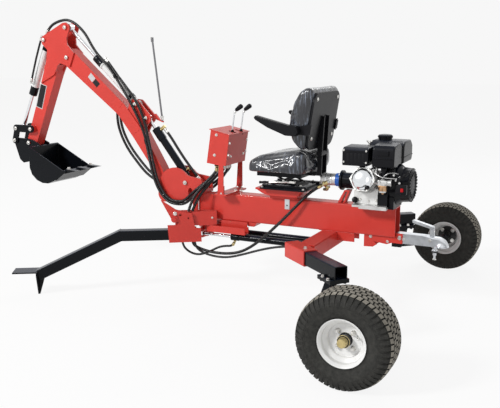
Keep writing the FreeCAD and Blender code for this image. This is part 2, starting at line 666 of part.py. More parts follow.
# ---------------------------------------------------------------- controls
def controls():
    """Sheet-metal control stand with the valve block inside it and two bent levers."""
    y = STAND_HALF
    wall = STAND_WALL
    side = [(-1210, 405), (-1085, 378), (-1110, 186), (-1127, 186), (-1127, 8), (-1170, 8), (-1158, 186),
            (-1242, 197)]
    sides = both_sides(lambda y0, y1: profile(side, y0, y1), y - wall, y)
    front = profile([(-1085, 378), (-1110, 186), (-1110 - wall, 186), (-1085 - wall, 378)], -y, y)
    back = profile([(-1210, 405), (-1242, 197), (-1242 + wall, 197), (-1210 + wall, 404)], -y, y)
    top = profile([(-1218, 407), (-1079, 377), (-1080, 373), (-1219, 403)], -y - 6, y + 6)
    slots = [box(-1140, -1088, ly - 14, ly + 14, 330, 440) for ly in LEVER_Y]
    foot = box(-1186, -1104, -y - 8, y + 8, 0, 9)
    ribs = both_sides(lambda y0, y1: profile([(-1170, 9), (-1127, 9), (-1127, 60)], y0, y1), y - 14, y - wall)
    node("control_stand", on_beam(fuse(*sides, front, back, top.cut(Part.makeCompound(slots)), foot, *ribs)))
    inner = y - wall - SEAT_GAP
    body = fuse(profile([(-1214, 226), (-1112, 226), (-1100, 314), (-1204, 330)], -inner + 20, inner - 20),
                *[rod((-1196, ly, 176), (-1196, ly, 230), 15) for ly in PORT_Y],
                *[box(-1214, -1120, s * inner - (16 if s > 0 else 0), s * inner + (0 if s > 0 else 16), 236, 300)
                  for s in (-1, 1)], box(-1200, -1150, -inner, inner, 240, 280))
    node("valve_block", on_beam(body))
    levers = []
    for (x, z), ly in zip(((-1121, 386), (-1104, 384)), LEVER_Y):
        low = 314 - (x + 1093) * 16 / 104 + SEAT_GAP
        stem = fuse(rod((x - 7, ly, low), (x + 23, ly, z + 127), 5), rod((x + 23, ly, z + 125), (x + 42, ly, z + 140), 5),
                    Part.makeSphere(5.2, V(x + 23, ly, z + 126)))
        knob = Part.makeCone(10, 13.5, 36, V(x + 34, ly, z + 133), V(39, 0, 28))
        knob = fuse(knob, rod((x - 7, ly, low), (x - 4, ly, low + 20), 11))
        levers.append(fuse(stem, knob))
    node("control_levers", on_beam(Part.makeCompound(levers)))


# ---------------------------------------------------------------- engine and pump
def engine():
    """Slanting single-cylinder engine, its tank and boxes, and the gear pump on its bell."""
    z = CRANK_Z
    slope = math.radians(HEAD_TILT)
    way = V(0, -math.cos(slope), math.sin(slope))
    centre = V(HEAD_X, -30, z + 5)

    def head(start, end, radius):
        return Part.makeCylinder(radius, end - start, centre + way * start, way)
    case = section([(-150, 8), (-150, 20), (-118, 26), (-108, z - 20), (-62, z + 48), (40, z + 66), (96, z + 20),
                    (112, 26), (112, 8)], CASE_X0, CASE_X1)
    case = rounded(case, 8, lambda e: e.BoundBox.XLength > 100 and e.BoundBox.ZMin > 30)
    feet = box(CASE_X0 + 40, CASE_X1, -150, 112, 0, 12)
    fins = [head(60 + 11 * i, 65 + 11 * i, 70) for i in range(6)]
    cover = Part.makeSphere(HEAD_R1, centre + way * 128)
    cover = cover.common(head(158, 260, HEAD_R1 + 5))
    hexagon = Part.makePolygon([V(74 * math.cos(math.radians(a)), 74 * math.sin(math.radians(a)), 0)
                                for a in range(0, 361, 60)])
    hexagon = Part.Face(hexagon).extrude(V(0, 0, 16))
    hexagon.rotate(V(0, 0, 0), V(1, 0, 0), 90 - HEAD_TILT)
    hexagon.translate(centre + way * 142)
    crank_end = rod((CASE_X0 - 6, 0, z), (CASE_X0 + 10, 0, z), 70)
    bowl = fuse(rod((-124, -152, z - 26), (-124, -152, z + 4), 22), rod((-124, -152, z), (-124, -152, z + 40), 17),
                rod((-124, -152, z + 26), (-124, -60, z + 26), 20))
    body = fuse(case, feet, head(0, 142, 56), *fins, hexagon, cover, crank_end, bowl)
    body = body.common(box(-600, CASE_X1, -400, 400, -10, 500))
    node("crankcase", on_beam(body))
    fan = [(0, 0), (FAN_R, 0), (FAN_R, 34), (FAN_R - 18, 58), (98, 64), (94, 104), (80, 112), (62, 112), (58, 106),
           (0, 106)]
    wire = Part.makePolygon([V(x, r, 0) for r, x in fan + fan[:1]])
    fan = Part.Face(wire).revolve(V(0, 0, 0), V(1, 0, 0), 360)
    fan = fuse(fan, box(0, 30, -104, 70, -z + SEAT_GAP, -60))
    fan.translate(V(CASE_X1 + SEAT_GAP, FAN_Y, z))
    node("fan_housing", on_beam(fan))
    tank = section([(-14, TANK_Z), (-22, TANK_Z + 30), (-20, TANK_Z + 100), (10, TANK_Z + 122), (140, TANK_Z + 122),
                    (176, TANK_Z + 92), (178, TANK_Z + 26), (160, TANK_Z)], TANK_X0, TANK_X1)
    tank = rounded(tank, 12, lambda e: e.BoundBox.XLength < 1)
    cap = fuse(rod((CAP_X, 64, TANK_Z + 118), (CAP_X, 64, TANK_Z + 140), 34),
               rod((CAP_X, 64, TANK_Z + 124), (CAP_X, 64, TANK_Z + 144), 39))
    stays = [box(x, x + 20, 4, 40, z + 66 + SEAT_GAP, TANK_Z + 2) for x in (TANK_X0 + 20, TANK_X0 + 100)]
    node("fuel_tank", on_beam(fuse(tank, cap, *stays)))
    cleaner = section([(-190, 248), (-194, 262), (-188, 340), (-168, 362), (-60, 370), (-28, 352), (-28, 250),
                       (-84, 250), (-120, 236), (-168, 236)], -180, -56)
    cleaner = rounded(cleaner, 10, lambda e: e.BoundBox.XLength < 1)
    throat = rod((-124, -140, z + 46 + SEAT_GAP), (-124, -140, 240), 17)
    node("air_cleaner", on_beam(fuse(cleaner, throat)))
    guard = section([(-190, 246), (-190, 330), (-170, 346), (-52, 350), (-34, 336), (-34, 246)], -350, -200)
    guard = rounded(guard, 8, lambda e: e.BoundBox.XLength < 1)
    vents = [box(-322 + 22 * i, -312 + 22 * i, -200, -184, 268, 318) for i in range(5)]
    pipe = rod((-262, -92, z + 73), (-262, -92, 248), 17)
    node("muffler", on_beam(fuse(guard.cut(Part.makeCompound(vents)), pipe.cut(body))))
    x = CASE_X0 - 6 - SEAT_GAP
    bell = fuse(rod((x - 12, 0, z), (x, 0, z), 70), rod((BELL_X, 0, z), (x, 0, z), 46),
                rod((BELL_X, 0, z), (BELL_X + 12, 0, z), 58))
    for i in range(4):
        angle = math.radians(45 + 90 * i)
        y, rise = 40 * math.cos(angle), 40 * math.sin(angle)
        bell = fuse(bell, rod((BELL_X, y, z + rise), (x, y, z + rise), 8))
    node("pump_bell", on_beam(bell))
    ring = rod((BELL_X - SEAT_GAP - RING_LEN, 0, z), (BELL_X - SEAT_GAP, 0, z), RING_R)
    for i in range(6):
        angle = math.radians(60 * i)
        y, rise = RING_R * math.cos(angle), RING_R * math.sin(angle)
        ring = ring.cut(rod((-460, y, z + rise), (BELL_X + 5, y, z + rise), 4))
    node("pump_ring", on_beam(ring))
    start = BELL_X - 2 * SEAT_GAP - RING_LEN
    body = fuse(rod((start - 80, 0, z), (start, 0, z), PUMP_R), rod((start - 92, 0, z), (start - 78, 0, z), PUMP_R - 10),
                rod(PUMP_PORT, (PUMP_PORT[0] + 33, PUMP_PORT[1] + 12, PUMP_PORT[2] + 20), 12),
                rod((start - 52, 0, z), (start - 52, 0, z - PUMP_R - 10), 12))
    node("pump", on_beam(body))
    strut = profile([(-428, 0), (-384, 0), (-352, 80), (-385, 80)], -24, 24)
    strut = strut.cut(profile([(-410, -4), (-396, -4), (-370, 66), (-380, 66)], -30, 30))
    strut = strut.cut(rod((BELL_X - 20, 0, z), (-300, 0, z), 58 + SEAT_GAP))
    node("pump_strut", on_beam(strut))


# ---------------------------------------------------------------- cylinders
def barrel(base, rod_end, length, radius, bore, gland_r, gland_len, eye_r, eye_w, rod_r):
    """Cylinder barrel in the XZ plane: base eye, tube and gland, with the rod's way bored."""
    span, way = along(base, rod_end)
    neck, start = step(base, way, eye_r - 6), step(base, way, eye_r + 20)
    gland, end = step(base, way, length - gland_len), step(base, way, length)

    def point(p):
        return (p[0], 0, p[1])
    body = fuse(disc(base, eye_r, -eye_w / 2, eye_w / 2), rod(point(neck), point(start), eye_w / 2 - 1.5),
                rod(point(start), point(gland), radius), rod(point(gland), point(end), gland_r))
    body = body.cut(rod(point(step(base, way, eye_r + 26)), point(gland), bore))
    body = body.cut(rod(point(gland), point(step(end, way, 1)), rod_r + FIT))
    return body.cut(cross_pin(base, eye_w, PIN_R + FIT))


def piston_rod(base, rod_end, inner, rod_r, eye_r, eye_w):
    """Rod and its closed eye, from inner (distance from the base pin) to the eye."""
    _, way = along(base, rod_end)
    start, end = step(base, way, inner), step(rod_end, way, -eye_r + 6)
    return fuse(rod((start[0], 0, start[1]), (end[0], 0, end[1]), rod_r),
                disc(rod_end, eye_r, -eye_w / 2, eye_w / 2))


def arm_cylinders():
    rows = (("boom", BOOM_CYL_BASE, BOOM_CYL_ROD, BOOM_CYL_LEN, 60.0),
            ("dipper", DIPPER_BASE, DIPPER_ROD, DIPPER_CYL_LEN, 292.0),
            ("bucket", BUCKET_CYL_BASE, LINK_PIN, BUCKET_CYL_LEN, 175.0))
    for name, base, end, length, inner in rows:
        node(name + "_barrel", barrel(base, end, length, CYL_R, CYL_BORE, GLAND_R, GLAND_LEN, EYE_R, EYE_W, ROD_R))
        node(name + "_rod", piston_rod(base, end, inner, ROD_R, EYE_R, EYE_W))


def swing_cylinders():
    """Two level cylinders under the beam, from the cross tube to the swing post's crank."""
    base, end = (0.0, 0.0), (-SWING_ROD_REACH, 0.0)
    tube = barrel(base, end, SWING_CYL_LEN, SWING_CYL_R, SWING_CYL_BORE, SWING_CYL_R + 3, 50, SWING_EYE_R,
                  SWING_EYE_W, SWING_ROD_R)
    ram = piston_rod(base, end, 130.0, SWING_ROD_R, SWING_EYE_R, SWING_EYE_W)
    for side, y in (("left", -SWING_SPACING), ("right", SWING_SPACING)):
        for name, shape in (("swing_barrel_", tube), ("swing_rod_", ram)):
            piece = shape.copy()
            piece.rotate(V(0, 0, 0), V(1, 0, 0), 90)
            piece.translate(V(SWING_BASE_X, y, SWING_Z))
            node(name + side, piece)


SWING_ROD_REACH = SWING_BASE_X - KING_X


# ---------------------------------------------------------------- swing post
def swing_post():
    inner = BOOM_W / 2 + 12
    outer = inner + POST_PLATE
    hump_x, hump_z = BOOM_CYL_BASE
    top_z, low_z = HEAD_Z1 + SIDE_GAP, HEAD_Z0 - SIDE_GAP
    rear = KING_X - 22

    def plate(y0, y1):
        body = fuse(disc(POST_DISC, POST_DISC_R, y0, y1), disc(BOOM_FOOT, 52, y0, y1),
                    disc(BOOM_CYL_BASE, 50, y0, y1),
                    profile([(hump_x - 30, hump_z + 40), (hump_x + 28, hump_z + 42), (-1322, 700), (-1306, 640),
                             (-1306, top_z), (rear, top_z), (rear, low_z), (-1385, low_z), (-1385, 560),
                             (-1450, 560)], y0, y1))
        return body.cut(profile([(-1418, 555), (-1418, 628), (-1403, 640), (-1388, 628), (-1388, 555)], y0, y1))

    plates = both_sides(plate, inner, outer)
    top = box(-1385, -1306, -inner - 1, inner + 1, top_z, top_z + 24)
    low = box(-1385, -1306, -outer, outer, low_z - 14, low_z)
    ear_z = SWING_EYE_W / 2 + SIDE_GAP
    king = rod((KING_X, 0, SWING_Z - ear_z - CRANK_PLATE - 6), (KING_X, 0, HEAD_Z1 + 34), KING_R)
    collar = rod((KING_X, 0, SWING_Z + ear_z), (KING_X, 0, low_z), 32)
    crank = []
    for z0 in (SWING_Z + ear_z, SWING_Z - ear_z - CRANK_PLATE):
        crank.append(box(KING_X - 24, KING_X + 24, -SWING_SPACING - 4, SWING_SPACING + 4, z0, z0 + CRANK_PLATE))
        for y in (-SWING_SPACING, SWING_SPACING):
            crank.append(rod((KING_X, y, z0), (KING_X, y, z0 + CRANK_PLATE), 24))
    pins = [cross_pin(BOOM_FOOT, outer + PIN_HEAD), cross_pin(BOOM_CYL_BASE, outer + PIN_HEAD)]
    return fuse(*plates, top, low, king, collar, *crank, *pins)


# ---------------------------------------------------------------- boom
def boom():
    outline = [(-2408, 1470), (-2330, 1513), (-1904, 1148), (-1767, 979), (-1630, 752), (-1580, 640), (-1562, 560),
               (-1592, 546), (-1634, 570), (-1714, 761), (-1838, 930), (-1960, 1083), (-2390, 1410)]
    half = BOOM_W / 2
    tip = disc(STICK_PIVOT, 34, -half, half)
    body = fuse(hollow(outline, half, BOOM_WALL), disc(BOOM_FOOT, 40, -half - 11, half + 11), tip)
    body = body.cut(cross_pin(BOOM_FOOT, 100, PIN_R + FIT))
    inner = EYE_W / 2 + SIDE_GAP
    lug = [(-1889, 1123), (-1866, 1176), (-1846, 1186), (-1808, 1182), (-1716, 1090), (-1712, 1050), (-1738, 1020),
           (-1763, 972), (-1771, 977)]
    lugs = both_sides(lambda y0, y1: profile(lug, y0, y1), inner, inner + PLATE)
    foot_x, foot_z = MARKER_FOOT
    foot_z -= 1.0
    arm = [(-1722, 1086), (-1704, 1094), (foot_x - 9, foot_z), (foot_x + 9, foot_z), (foot_x + 7, foot_z - 10),
           (-1716, 1060)]
    lugs.append(profile(arm, inner, inner + PLATE))
    heads = []
    for x, z in (DIPPER_BASE, BOOM_CYL_ROD):
        for s in (-1, 1):
            y = s * (inner + PLATE)
            heads.append(rod((x, y - s, z), (x, y + s * PIN_HEAD, z), PIN_HEAD_R))
    body = fuse(body, *lugs, cross_pin(DIPPER_BASE, inner + PLATE), *heads)
    return body.cut(cross_pin(STICK_PIVOT, 100, PIN_R + FIT))


# ---------------------------------------------------------------- stick
def stick():
    inner = BOOM_W / 2 + SIDE_GAP
    outer = inner + PLATE
    head = [(-2565, 1545), (-2575, 1580), (-2551, 1600), (-2380, 1682), (-2353, 1684), (-2328, 1665), (-2326, 1640),
            (-2353, 1581), (-2350, 1540), (-2297, 1484), (-2338, 1392), (-2419, 1418), (-2440, 1400), (-2473, 1340),
            (-2593, 1282), (-2540, 1420), (-2523, 1506)]
    plates = both_sides(lambda y0, y1: profile(head, y0, y1), inner, outer)
    tube = [(-2600, 1270), (-2560, 1400), (-2470, 1400), (-2462, 1345), (-2676, 850), (-2729, 832), (-2757, 876)]
    half = STICK_W / 2
    filler = profile([(-2560, 1400), (-2594, 1290), (-2480, 1350), (-2446, 1405), (-2520, 1440)], -inner, inner)
    body = fuse(hollow(tube, half, BOOM_WALL), *plates, filler, disc(BUCKET_PIVOT, 32, -EAR_Y + SIDE_GAP, EAR_Y - SIDE_GAP),
                disc(GUIDE_PIVOT, 26, -GUIDE_Y + SIDE_GAP, GUIDE_Y - SIDE_GAP))
    pins = [cross_pin(STICK_PIVOT, outer + PIN_HEAD), cross_pin(BUCKET_CYL_BASE, outer + PIN_HEAD),
            cross_pin(GUIDE_PIVOT, GUIDE_Y + LINK_PLATE + 6), cross_pin(BUCKET_PIVOT, EAR_Y + PLATE + 6)]
    for s in (-1, 1):
        x, z = DIPPER_ROD
        pins.append(rod((x, s * (outer - 1), z), (x, s * (outer + PIN_HEAD), z), PIN_HEAD_R))
    return fuse(body, *pins)


# ---------------------------------------------------------------- bucket and its linkage
EAR_Y = STICK_W / 2 + 6              # inner faces of the bucket's ears
PUSH_Y = EAR_Y + PLATE + SIDE_GAP    # inner faces of the push links
GUIDE_Y = PUSH_Y + 8 + SIDE_GAP      # inner faces of the guide links
LINK_PLATE = 8.0


def bucket():
    half = BUCKET_W / 2
    rim_left, rim_right = (-2648, 848), (-2351, 693)
    curve = [(-2650, 700), (-2632, 655), (-2589, 617), (-2540, 600), (-2490, 600), (-2418, 630)]
    outer = [rim_left] + curve + [rim_right]
    inner = [(-2636, 860), (-2640, 705), (-2622, 662), (-2583, 627), (-2537, 610), (-2492, 610), (-2424, 639),
             (-2330, 718)]
    body = profile(outer, -half, half)
    room = profile(inner + [(-2480, 800)], -half + BUCKET_SIDE, half - BUCKET_SIDE)
    shell = body.cut(room)
    lip = profile([(-2424, 622), (-2340, 684), (-2334, 696), (-2352, 700), (-2424, 639)], -half, half)
    teeth = []
    for y in (-118.0, 0.0, 118.0):
        teeth.append(profile([(-2372, 678), (-2340, 708), (-2250, 700), (-2345, 676)], y - 22, y + 22))
    ear = [(-2866, 866), (-2862, 892), (-2836, 894), (-2740, 890), (-2700, 884), (-2640, 858), (-2640, 760),
           (-2700, 735), (-2790, 716), (-2822, 740)]
    ears = both_sides(lambda y0, y1: profile(ear, y0, y1), EAR_Y, EAR_Y + PLATE)
    shape = fuse(shell, lip, *teeth, *ears)
    return shape.cut(cross_pin(BUCKET_PIVOT, 100, PIN_R + FIT))


def guide_link():
    plates = both_sides(lambda y0, y1: link(GUIDE_PIVOT, LINK_PIN, 26, y0, y1), GUIDE_Y, GUIDE_Y + LINK_PLATE)
    pins = [rod((LINK_PIN[0], s * (EYE_W / 2 + SIDE_GAP), LINK_PIN[1]),
                (LINK_PIN[0], s * (GUIDE_Y + LINK_PLATE + 6), LINK_PIN[1]), PIN_R) for s in (-1, 1)]
    bored = [p.cut(cross_pin(GUIDE_PIVOT, 200, PIN_R + FIT)) for p in plates]
    return Part.makeCompound([fuse(bored[i], pins[i]) for i in (0, 1)])


def push_link():
    plates = both_sides(lambda y0, y1: link(LINK_PIN, BUCKET_LINK_PIN, 24, y0, y1), PUSH_Y, PUSH_Y + LINK_PLATE)
    x, z = BUCKET_LINK_PIN
    ends = [rod((x, s * PUSH_Y, z), (x, s * (PUSH_Y + LINK_PLATE + 6), z), PIN_R + 4) for s in (-1, 1)]
    bored = [p.cut(cross_pin(LINK_PIN, 200, PIN_R + FIT)) for p in plates]
    return Part.makeCompound([fuse(bored[i], ends[i]) for i in (0, 1)])


# ---------------------------------------------------------------- small pieces and hoses
def marker_rod():
    """Thin depth rod beside the boom, on a foot plate, with a capped end."""
    x, z = MARKER_FOOT
    top_x, top_z = MARKER_TOP
    y = EYE_W / 2 + SIDE_GAP + PLATE / 2
    stem = rod((x, y, z), (top_x, y, top_z), MARKER_R)
    cap = rod((top_x + 1, y, top_z - 24), (top_x, y, top_z + 4), MARKER_R + 3)
    return fuse(stem, cap)


def beam_bracket():
    """Red channel under the beam's front half that carries the hoses, and its end plate."""
    low = BEAM_TOP - BEAM_H
    floor, top = SWING_Z + SWING_CYL_R + 7, LEG_TOP + 25
    channel = section([(-110, floor), (-110, top), (-104, top), (-104, floor + 6), (-62, floor + 6), (-62, top),
                       (-56, top), (-56, floor)], -1258, -992)
    plate = profile([(-1010, low), (-940, low), (-960, low - 26), (-1002, low - 26)], -46, 46)
    hanger = section([(-62, top - 11), (-62, low), (-36, low), (-36, low - 6), (-56, low - 6), (-56, top - 11)],
                     -1186, -1000)
    return fuse(channel, plate, hanger, box(-1258, -1252, -108, -58, floor + 2, top - 1))


def clip(x, z, y_face, y_hose, radius, tilt=0.0):
    """A saddle that holds a hose at (x, z) to the side face of a plate or box."""
    out = -1 if y_hose < y_face else 1
    reach = abs(y_hose - y_face)
    foot = box(-radius - 9, radius + 9, min(0, out * 3), max(0, out * 3), -9, 9)
    band = box(-radius - 3, radius + 3, min(0, out * (reach + radius)), max(0, out * (reach + radius)), -9, 9)
    piece = fuse(foot, band)
    piece.rotate(V(0, 0, 0), V(0, 1, 0), tilt)
    piece.translate(V(x, y_face, z))
    return piece


def hose_set(runs, clips=()):
    """Hoses of one body, each its own solid unless a clip joins it to its neighbour."""
    tubes = [hose(points, radius) for points, radius in runs]
    return tubes[0].multiFuse(tubes[1:] + list(clips))


def flat_run(points, y):
    return [(x, y, z) for x, z in points]


def frame_hoses():
    """Valve block to the nose, and pump and swing cylinder lines below the beam."""
    port_x, port_y, port_z = PUMP_PORT
    port = (port_x - 1.2, port_y - 0.5, BEAM_TOP + port_z - 0.8)
    thick = [
        [(-1196, PORT_Y[0], 795.7), (-1196, PORT_Y[0], 770), (-1216, -94, 740), (-1260, -118, 690), (-1302, -146, 634), (-1330, -170, 580),
         (-1346, -184, 512.8)],
        [(-1196, PORT_Y[1], 795.7), (-1196, PORT_Y[1], 768), (-1208, -62, 732), (-1246, -92, 682), (-1288, -122, 622), (-1314, -146, 566),
         (-1330, -166, 514.2)],
        [(-1196, PORT_Y[2], 795.7), (-1196, PORT_Y[2], 768), (-1214, -28, 734), (-1254, -62, 692), (-1298, -98, 650), (-1324, -120, 618)],
        [(-1196, PORT_Y[3], 795.7), (-1196, PORT_Y[3], 772), (-1210, 2, 744), (-1248, -38, 712), (-1292, -78, 678), (-1316, -104, 650)],
        [(-1350, -132, 324.7), (-1350, -132, 298), (-1334, -122, 276), (-1290, -112, 258), (-1220, -110, 247), (-1119, -110, 249),
         (-1030, -110, 268), (-953, -110, 309), (-856, -110, 387), (-735, -100, 508), (-641, -84, 612),
         (-575, -64, 684), port]]
    thin = [
        [(-1409, -160, 324.7), (-1409, -160, 298), (-1396, -150, 262), (-1360, -134, 232), (-1310, -116, 222), (-1250, -96, 244),
         (-1196, -78, 276), (-1150, -70, 288), (-1100, -62, 290), (-1084, -62, 325.2)],
        [(-1330, -140, 324.7), (-1330, -140, 300), (-1310, -140, 264), (-1262, -132, 240), (-1190, -130, 228), (-1100, -130, 232),
         (-1000, -128, 262), (-888, -120, 302), (-792, -108, 328), (-700, -94, 340), (-560, -90, 347)]]
    return hose_set([(points, HOSE_R) for points in thick] + [(points, THIN_HOSE_R) for points in thin])


def post_hoses():
    """Two loops round the near side of the swing post."""
    y = -(BOOM_W / 2 + 12 + POST_PLATE + 20)
    loops = [[(-1680, 742), (-1656, 668), (-1614, 596), (-1550, 548), (-1482, 530), (-1418, 546), (-1366, 592)],
             [(-1660, 746), (-1637, 678), (-1600, 612), (-1545, 567), (-1483, 549), (-1428, 564), (-1380, 606)]]
    face = -(BOOM_W / 2 + 12 + POST_PLATE)
    return hose_set([(flat_run(points, y), HOSE_R) for points in loops], [clip(-1484, 540, face, y, 18, 0.0)])


def boom_hoses():
    """Lines along the boom's near side, and two that hang below it on the far side."""
    face = BOOM_W / 2
    near = face + HOSE_R + 1.5
    lines = [[(-2090, 1462), (-2006, 1390), (-1925, 1276), (-1850, 1166), (-1790, 1060), (-1748, 962),
              (-1720, 862), (-1684, 752), (-1668, 706)],
             [(-2040, 1452), (-1946, 1340), (-1832, 1214), (-1778, 1126), (-1742, 1034), (-1724, 950),
              (-1699, 858), (-1663, 748), (-1648, 708)]]
    under = [[(-2018, 1196), (-2034, 1100), (-2030, 1010), (-2000, 925), (-1950, 840), (-1884, 765), (-1826, 704),
              (-1775, 672), (-1722, 664), (-1680, 690)],
             [(-1994, 1186), (-2008, 1096), (-2004, 1016), (-1976, 938), (-1928, 858), (-1866, 786), (-1810, 728),
              (-1768, 698), (-1724, 690), (-1690, 716)]]
    runs = [(flat_run(points, -near), HOSE_R) for points in lines]
    runs += [(flat_run(points, near), HOSE_R) for points in under]
    clips = [clip(-1965, 1333, -face, -near, HOSE_R, 55), clip(-1735, 915, -face, -near, 22, 75),
             clip(-2008, 1176, face, near, 20, 0)]
    return hose_set(runs, clips)


def stick_hoses():
    """The bucket cylinder's two lines: one over the stick's head, one down beside the barrel."""
    over = [(-2548, -18, 1612), (-2516, -28, 1656), (-2426, -42, 1694), (-2312, -54, 1704), (-2200, -54, 1626),
            (-2132, -54, 1515)]
    y = -(BOOM_W / 2 + SIDE_GAP - THIN_HOSE_R + 0.5)
    down = flat_run([(-2570, 1600), (-2600, 1530), (-2636, 1440), (-2678, 1318), (-2692, 1280)], y)
    return hose_set([(over, HOSE_R), (down, THIN_HOSE_R)], [box(-2434, -2416, -50, -36, 1665.2, 1690)])


def cylinder_hose():
    """Line along the boom cylinder, from its gland port to below its base port."""
    _, way = along(BOOM_CYL_BASE, BOOM_CYL_ROD)
    side = (way[1], -way[0])

    def at(distance, off):
        return (BOOM_CYL_BASE[0] + way[0] * distance + side[0] * off, 0,
                BOOM_CYL_BASE[1] + way[1] * distance + side[1] * off)
    line = hose([at(388, 54), at(310, 60), at(200, 54), at(80, 56), at(-40, 62)], HOSE_R)
    elbow = rod(at(388, GLAND_R + SEAT_GAP), at(388, 54), 9).fuse(Part.makeSphere(9, V(*at(388, 54))))
    stub = rod(at(70, CYL_R + SEAT_GAP), at(70, 50), 9)
    return fuse(line, elbow, stub)


def hoses():
    node("hoses_frame", frame_hoses())
    node("hoses_post", post_hoses())
    node("hoses_boom", boom_hoses())
    node("hoses_stick", stick_hoses())
    node("hose_boom_cylinder", cylinder_hose())


# ---------------------------------------------------------------- everything
def build():
    wheels()
    node("main_beam", main_beam())
    axle()
    node("head_frame", head_frame())
    bracket = leg_bracket()
    node("leg_bracket_left", bracket)
    node("leg_bracket_right", mirrored(bracket))
    node("stabiliser_leg", leg())
    node("tow_mount", tow_mount())
    node("tow_coupler", tow_coupler())
    seat()
    controls()
    engine()
    arm_cylinders()
    swing_cylinders()
    node("swing_post", swing_post())
    node("boom", boom())
    node("stick", stick())
    node("bucket", bucket())
    node("guide_link", guide_link())
    node("push_link", push_link())
    node("marker_rod", marker_rod())
    node("beam_bracket", beam_bracket())
    hoses()


def shift_x():
    """How far every piece moves along X so that the origin is the machine's bottom centre."""
    boxes = [shape.optimalBoundingBox(False) for shape in NODES.values()]
    return -(min(b.XMin for b in boxes) + max(b.XMax for b in boxes)) / 2


def export():
    os.makedirs("parts", exist_ok=True)
    move = V(shift_x(), 0, 0)
    for name, shape in NODES.items():
        shape = shape.copy()
        shape.translate(move)
        shape.exportStep("parts/" + name + ".step")
    return move


build()
SHIFT = export()
print("pieces", len(NODES), "shift", SHIFT.x, "tightest hose bend", min(BENDS))
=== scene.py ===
import json
import math

import bmesh
import bpy
from mathutils import Matrix, Quaternion, Vector, noise
from mathutils.bvhtree import BVHTree


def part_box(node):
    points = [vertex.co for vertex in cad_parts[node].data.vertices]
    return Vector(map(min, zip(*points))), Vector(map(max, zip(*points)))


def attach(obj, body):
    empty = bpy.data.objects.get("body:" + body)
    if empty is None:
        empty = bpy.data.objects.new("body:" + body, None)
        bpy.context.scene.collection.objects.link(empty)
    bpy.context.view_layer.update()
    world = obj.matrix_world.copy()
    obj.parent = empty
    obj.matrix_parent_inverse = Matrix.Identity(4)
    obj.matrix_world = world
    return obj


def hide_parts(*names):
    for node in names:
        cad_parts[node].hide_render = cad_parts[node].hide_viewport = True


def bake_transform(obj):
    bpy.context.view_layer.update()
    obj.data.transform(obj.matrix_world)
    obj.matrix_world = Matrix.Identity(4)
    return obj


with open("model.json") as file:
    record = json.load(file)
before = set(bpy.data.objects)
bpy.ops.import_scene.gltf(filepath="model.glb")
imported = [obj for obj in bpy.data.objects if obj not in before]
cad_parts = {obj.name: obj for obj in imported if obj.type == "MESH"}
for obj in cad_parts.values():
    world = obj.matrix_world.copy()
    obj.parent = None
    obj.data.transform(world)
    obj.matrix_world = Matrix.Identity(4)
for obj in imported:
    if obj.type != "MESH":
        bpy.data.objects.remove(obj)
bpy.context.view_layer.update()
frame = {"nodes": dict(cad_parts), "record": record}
NODES = frame["nodes"]
BEHAVIOUR = frame["record"]["behaviour"]
SLOTS = {s["node"]: s["material_slot"] for s in frame["record"]["subparts"]}
BODY_OF = {node: body for body, nodes in BEHAVIOUR["bodies"].items() for node in nodes}
HARD = [n for n in NODES if SLOTS[n] not in ("hose_rubber", "black_vinyl")]

# Places are told in millimetres from the wheel spindles' X, the middle plane and the ground.
MID_X = next(j["pos_m"][0] for j in BEHAVIOUR["joints"] if j["name"] == "wheel_left_spin")
WHEEL_Y, WHEEL_R = 1073, 228.5
BEAM_TOP = 620
CRANK_Z = BEAM_TOP + 130
ARM, TOW = (-1, 0, 0), (1, 0, 0)      # the arm points to -X, the coupler to +X
NEAR, FAR = (0, -1, 0), (0, 1, 0)     # the photo shows the side at -Y
DOWN, UP = (0, 0, -1), (0, 0, 1)
SIDES = ((-1, FAR, NEAR), (1, NEAR, FAR))   # sign of Y, way into the side, way out of it


def at(x, y, z):
    """The frame's point for a place told in millimetres."""
    return Vector((MID_X + x / 1000, y / 1000, z / 1000))


def assign(thing, **values):
    for key, value in values.items():
        setattr(thing, key, value)
    return thing


def placed(name, data):
    """A new object in the scene."""
    obj = bpy.data.objects.new(name, data)
    bpy.context.scene.collection.objects.link(obj)
    return obj


def applied(obj):
    """The mesh that the object's modifiers give. They are then removed."""
    evaluated = obj.evaluated_get(bpy.context.evaluated_depsgraph_get())
    mesh = bpy.data.meshes.new_from_object(evaluated)
    obj.modifiers.clear()
    return mesh


# ------------------------------------------------------------------ shader nodes
def node(nt, kind, inputs=(), out=0, **settings):
    """A new node's output. An input takes another node's output or a plain value."""
    made = assign(nt.nodes.new("ShaderNode" + kind), **settings)
    for key, value in dict(inputs).items():
        if isinstance(value, bpy.types.NodeSocket):
            nt.links.new(value, made.inputs[key])
        else:
            made.inputs[key].default_value = value
    return made.outputs[out]


def noise_tex(nt, scale, detail=4.0, rough=0.55, stretch=(1, 1, 1), turn=(0, 0, 0)):
    place = node(nt, "Mapping", {"Vector": node(nt, "TexCoord", out="Object"),
                                 "Scale": stretch, "Rotation": turn})
    return node(nt, "TexNoise", {"Vector": place, "Scale": scale, "Detail": detail,
                                 "Roughness": rough}, "Fac")


def ramp(nt, source, low, high):
    """A colour between two (position, colour) stops."""
    colour = node(nt, "ValToRGB", {"Fac": source}, "Color")
    for element, (position, shown) in zip(colour.node.color_ramp.elements, (low, high)):
        assign(element, position=position, color=(*shown, 1))
    return colour


def mix_colour(nt, fac, a, b):
    a, b = ((*c, 1) if isinstance(c, tuple) else c for c in (a, b))
    return node(nt, "Mix", {"Factor": fac, 6: a, 7: b}, 2, data_type="RGBA")


def spread(nt, source, low, high, start=0.0, end=1.0):
    """Carry the range from start to end to the range from low to high."""
    return node(nt, "MapRange", {"Value": source, "From Min": start, "From Max": end,
                                 "To Min": low, "To Max": high})


def product(nt, a, b):
    return node(nt, "Math", {0: a, 1: b}, operation="MULTIPLY")


